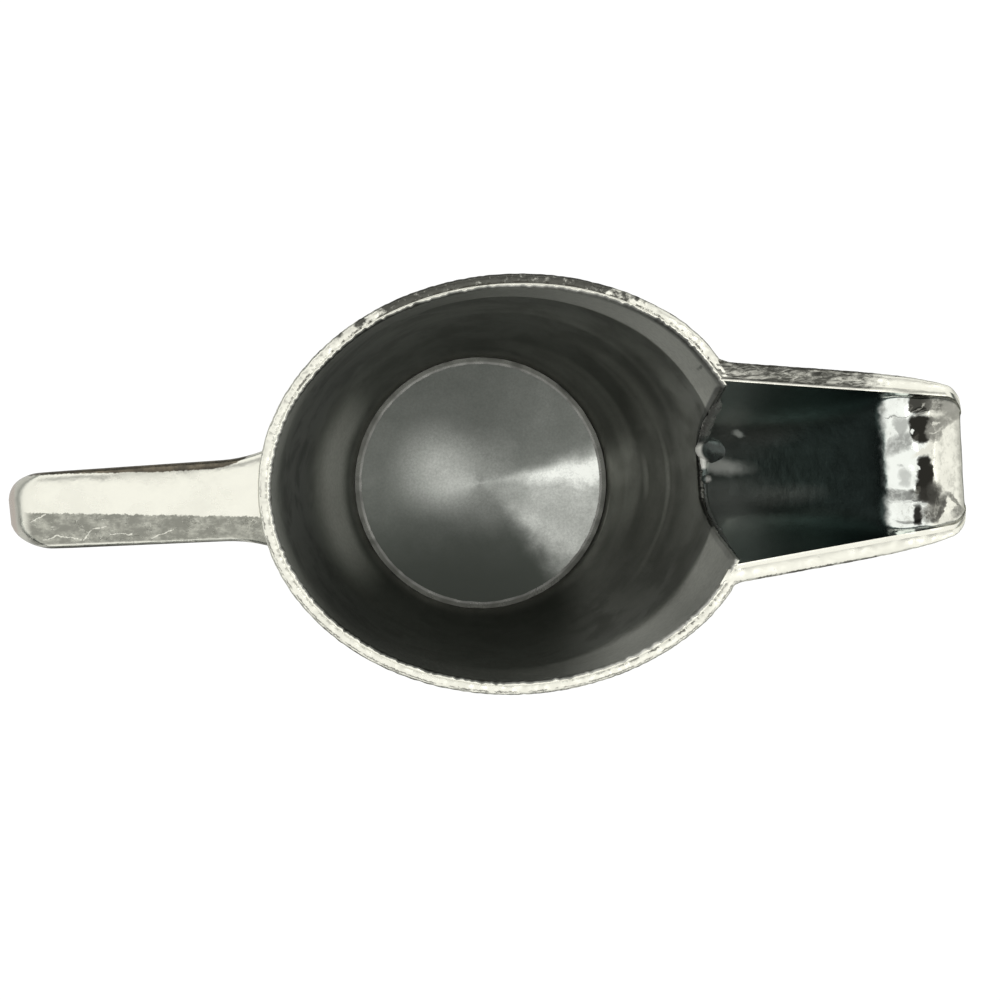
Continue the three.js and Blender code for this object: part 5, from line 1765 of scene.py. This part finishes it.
def backdrop_finish(tint):
    """Pale floor: its own white for what is seen, and matt for the shadow."""
    material = bpy.data.materials.new("studio_paper")
    material.use_nodes = True
    material.node_tree.nodes.clear()
    w = Wiring(material.node_tree)
    rays = w.add("ShaderNodeLightPath").outputs
    shade = w.mix(rays["Is Camera Ray"], opaque(tint.backdrop, FLOOR_DIM), opaque(tint.backdrop))
    matt = w.add("ShaderNodeBsdfDiffuse", {"Color": shade})
    white = w.add("ShaderNodeEmission", {"Color": opaque(tint.backdrop), "Strength": FLOOR_WHITE})
    share = w.product(rays["Is Camera Ray"], FLOOR_SHARE)
    blend = w.add("ShaderNodeMixShader", {0: share, 1: matt.outputs[0], 2: white.outputs[0]})
    clear = w.add("ShaderNodeBsdfTransparent")
    from_below = w.add("ShaderNodeNewGeometry").outputs["Backfacing"]
    shown = w.add("ShaderNodeMixShader", {0: from_below, 1: blend.outputs[0], 2: clear.outputs[0]})
    output = w.add("ShaderNodeOutputMaterial")
    w.feed(output.inputs["Surface"], shown.outputs[0])
    return material


HORIZON_LEVEL = 0.07
LEVEL_BELOW = 0.6  # only the underside of the foot sees this
HORIZON_TINT = (0.72, 0.86, 0.84, 1.0)
ZENITH_TINT = (1.0, 1.0, 0.985, 1.0)
# Lamps as streaks in the dome: lean, half width, middle and half length along X, and strength
DOME_LAMPS = ((-0.05, 0.075, 0.22, 0.16, 2.6), (0.7, 0.12, 0.24, 0.14, 0.9))


def build_world():
    """Soft dome: bright overhead, dim toward the horizon, and greyer on the side where one stands."""
    world = bpy.data.worlds.new("studio_dome")
    world.use_nodes = True
    world.node_tree.nodes.clear()
    w = Wiring(world.node_tree)
    direction = w.add("ShaderNodeTexCoord").outputs["Generated"]
    x, y, z = w.split(direction)
    height = w.remap(z, 0.2, 0.45)
    level = w.remap(height, 0.0, 1.0, HORIZON_LEVEL, 1.0)
    below = w.remap(z, -0.05, -0.15)
    level = w.total(level, w.product(below, LEVEL_BELOW))
    aside = w.remap(y, 0.14, 0.3)
    hidden = w.product(aside, w.remap(z, 0.8, 0.9))
    level = w.product(level, w.remap(hidden, 0.0, 1.0, 1.0, 0.4))
    for lean, half, middle, reach, strength in DOME_LAMPS:
        across = w.bump_at(w.total(y, w.product(x, lean)), 0.0, half)
        level = w.total(level, w.product(across, w.bump_at(x, middle, reach), strength))
    shade = w.mix(w.most(height, below), HORIZON_TINT, ZENITH_TINT)
    dome = w.add("ShaderNodeBackground", {"Color": shade, "Strength": level})
    white = w.add("ShaderNodeBackground", {"Color": (1.0, 1.0, 1.0, 1.0)})
    seen = w.add("ShaderNodeLightPath").outputs["Is Camera Ray"]
    blend = w.add("ShaderNodeMixShader", {0: seen, 1: dome.outputs[0], 2: white.outputs[0]})
    output = w.add("ShaderNodeOutputWorld")
    w.feed(output.inputs["Surface"], blend.outputs[0])
    bpy.context.scene.world = world


CAMERA_AT = (2.2, 2.66, 312.0)
CAMERA_AIM = (3.395, -2.27, 72.0)
CAMERA_ROLL = -3.2
LENS = 54.6
SENSOR = 36.0
CLIP_START = 0.01


def build_camera():
    """Camera above the jug, turned a little, as the photograph was taken."""
    data = bpy.data.cameras.new("photo_view")
    data.lens = LENS
    data.sensor_width = SENSOR
    data.clip_start = CLIP_START
    camera = bpy.data.objects.new("photo_view", data)
    bpy.context.scene.collection.objects.link(camera)
    place, aim = Vector(CAMERA_AT) * MM, Vector(CAMERA_AIM) * MM
    back = (place - aim).normalized()
    roll = math.radians(CAMERA_ROLL)
    right = Vector((math.cos(roll), math.sin(roll), 0))
    right = (right - back * right.dot(back)).normalized()
    up = back.cross(right)
    camera.matrix_world = Matrix((
        (right.x, up.x, back.x, place.x),
        (right.y, up.y, back.y, place.y),
        (right.z, up.z, back.z, place.z),
        (0, 0, 0, 1),
    ))
    bpy.context.scene.camera = camera


# Operators
class CreamerOperator:
    """What the creamer's operators share: the plan and the colours of the scene"""

    bl_options = {"REGISTER", "UNDO"}

    def execute(self, context):
        self.build(Plan(context.scene.creamer_sizes), context.scene.creamer_colours)
        return {"FINISHED"}


class CREAMER_OT_stage(CreamerOperator, bpy.types.Operator):
    """Make the floor, the dome of light and the camera"""

    bl_idname = "creamer.stage"
    bl_label = "Studio"

    def build(self, plan, tint):
        bpy.context.scene.view_settings.view_transform = "Standard"
        build_stage(tint)
        build_world()
        build_camera()


class CREAMER_OT_body(CreamerOperator, bpy.types.Operator):
    """Make the body sheet and its foot"""

    bl_idname = "creamer.body"
    bl_label = "Body and foot"

    def build(self, plan, tint):
        build_body(plan, tint)
        build_foot(plan, tint)


class CREAMER_OT_floor(CreamerOperator, bpy.types.Operator):
    """Make the turned floor and the solder round it"""

    bl_idname = "creamer.floor"
    bl_label = "Floor and its solder"

    def build(self, plan, tint):
        build_floor(plan, tint)
        build_floor_solder(plan, tint)


class CREAMER_OT_spout(CreamerOperator, bpy.types.Operator):
    """Make the spout and the solder at its root"""

    bl_idname = "creamer.spout"
    bl_label = "Spout and its solder"

    def build(self, plan, tint):
        build_spout(plan, tint)
        build_spout_solder(plan, tint)


class CREAMER_OT_wires(CreamerOperator, bpy.types.Operator):
    """Make the wires along the mouth and the spout"""

    bl_idname = "creamer.wires"
    bl_label = "Edge wires"

    def build(self, plan, tint):
        build_mouth_wire(plan, tint)
        finish = spout_wire_finish(plan, tint)
        build_spout_wire(plan, "spout_edge_left", "spout_wire_left", 1, finish)
        build_spout_wire(plan, "spout_edge_right", "spout_wire_right", -1, finish)


class CREAMER_OT_handle(CreamerOperator, bpy.types.Operator):
    """Make the two halves of the handle and the solder at its joints"""

    bl_idname = "creamer.handle"
    bl_label = "Handle and its solder"

    def build(self, plan, tint):
        finish = handle_finish(tint)
        build_handle_half(plan, "handle_back", "handle_outer_half", 1, finish)
        build_handle_half(plan, "handle_front", "handle_inner_half", -1, finish)
        solder = polished_finish("joint_solder", tint)
        build_handle_solder(plan, "handle_upper_fillet", "handle_upper_solder", True, solder)
        build_handle_solder(plan, "handle_lower_fillet", "handle_lower_solder", False, solder)


OPERATORS = (
    CREAMER_OT_stage,
    CREAMER_OT_body,
    CREAMER_OT_floor,
    CREAMER_OT_spout,
    CREAMER_OT_wires,
    CREAMER_OT_handle,
)


class CREAMER_PT_panel(bpy.types.Panel):
    """Lists the creamer's operators, sizes and colours"""

    bl_idname = "CREAMER_PT_panel"
    bl_label = "Creamer"
    bl_space_type = "VIEW_3D"
    bl_region_type = "UI"
    bl_category = "Creamer"

    def draw(self, context):
        for operator in OPERATORS:
            self.layout.operator(operator.bl_idname)
        for group in (context.scene.creamer_sizes, context.scene.creamer_colours):
            column = self.layout.column(align=True)
            for name in type(group).__annotations__:
                column.prop(group, name)


CLASSES = (CreamerSizes, CreamerColours, *OPERATORS, CREAMER_PT_panel)


def register():
    for each in CLASSES:
        bpy.utils.register_class(each)
    bpy.types.Scene.creamer_sizes = bpy.props.PointerProperty(type=CreamerSizes)
    bpy.types.Scene.creamer_colours = bpy.props.PointerProperty(type=CreamerColours)


def unregister():
    del bpy.types.Scene.creamer_colours
    del bpy.types.Scene.creamer_sizes
    for each in reversed(CLASSES):
        bpy.utils.unregister_class(each)


def main():
    register()
    bpy.ops.creamer.stage()
    bpy.ops.creamer.body()
    bpy.ops.creamer.floor()
    bpy.ops.creamer.spout()
    bpy.ops.creamer.wires()
    bpy.ops.creamer.handle()


if __name__ == "__main__":
    main()
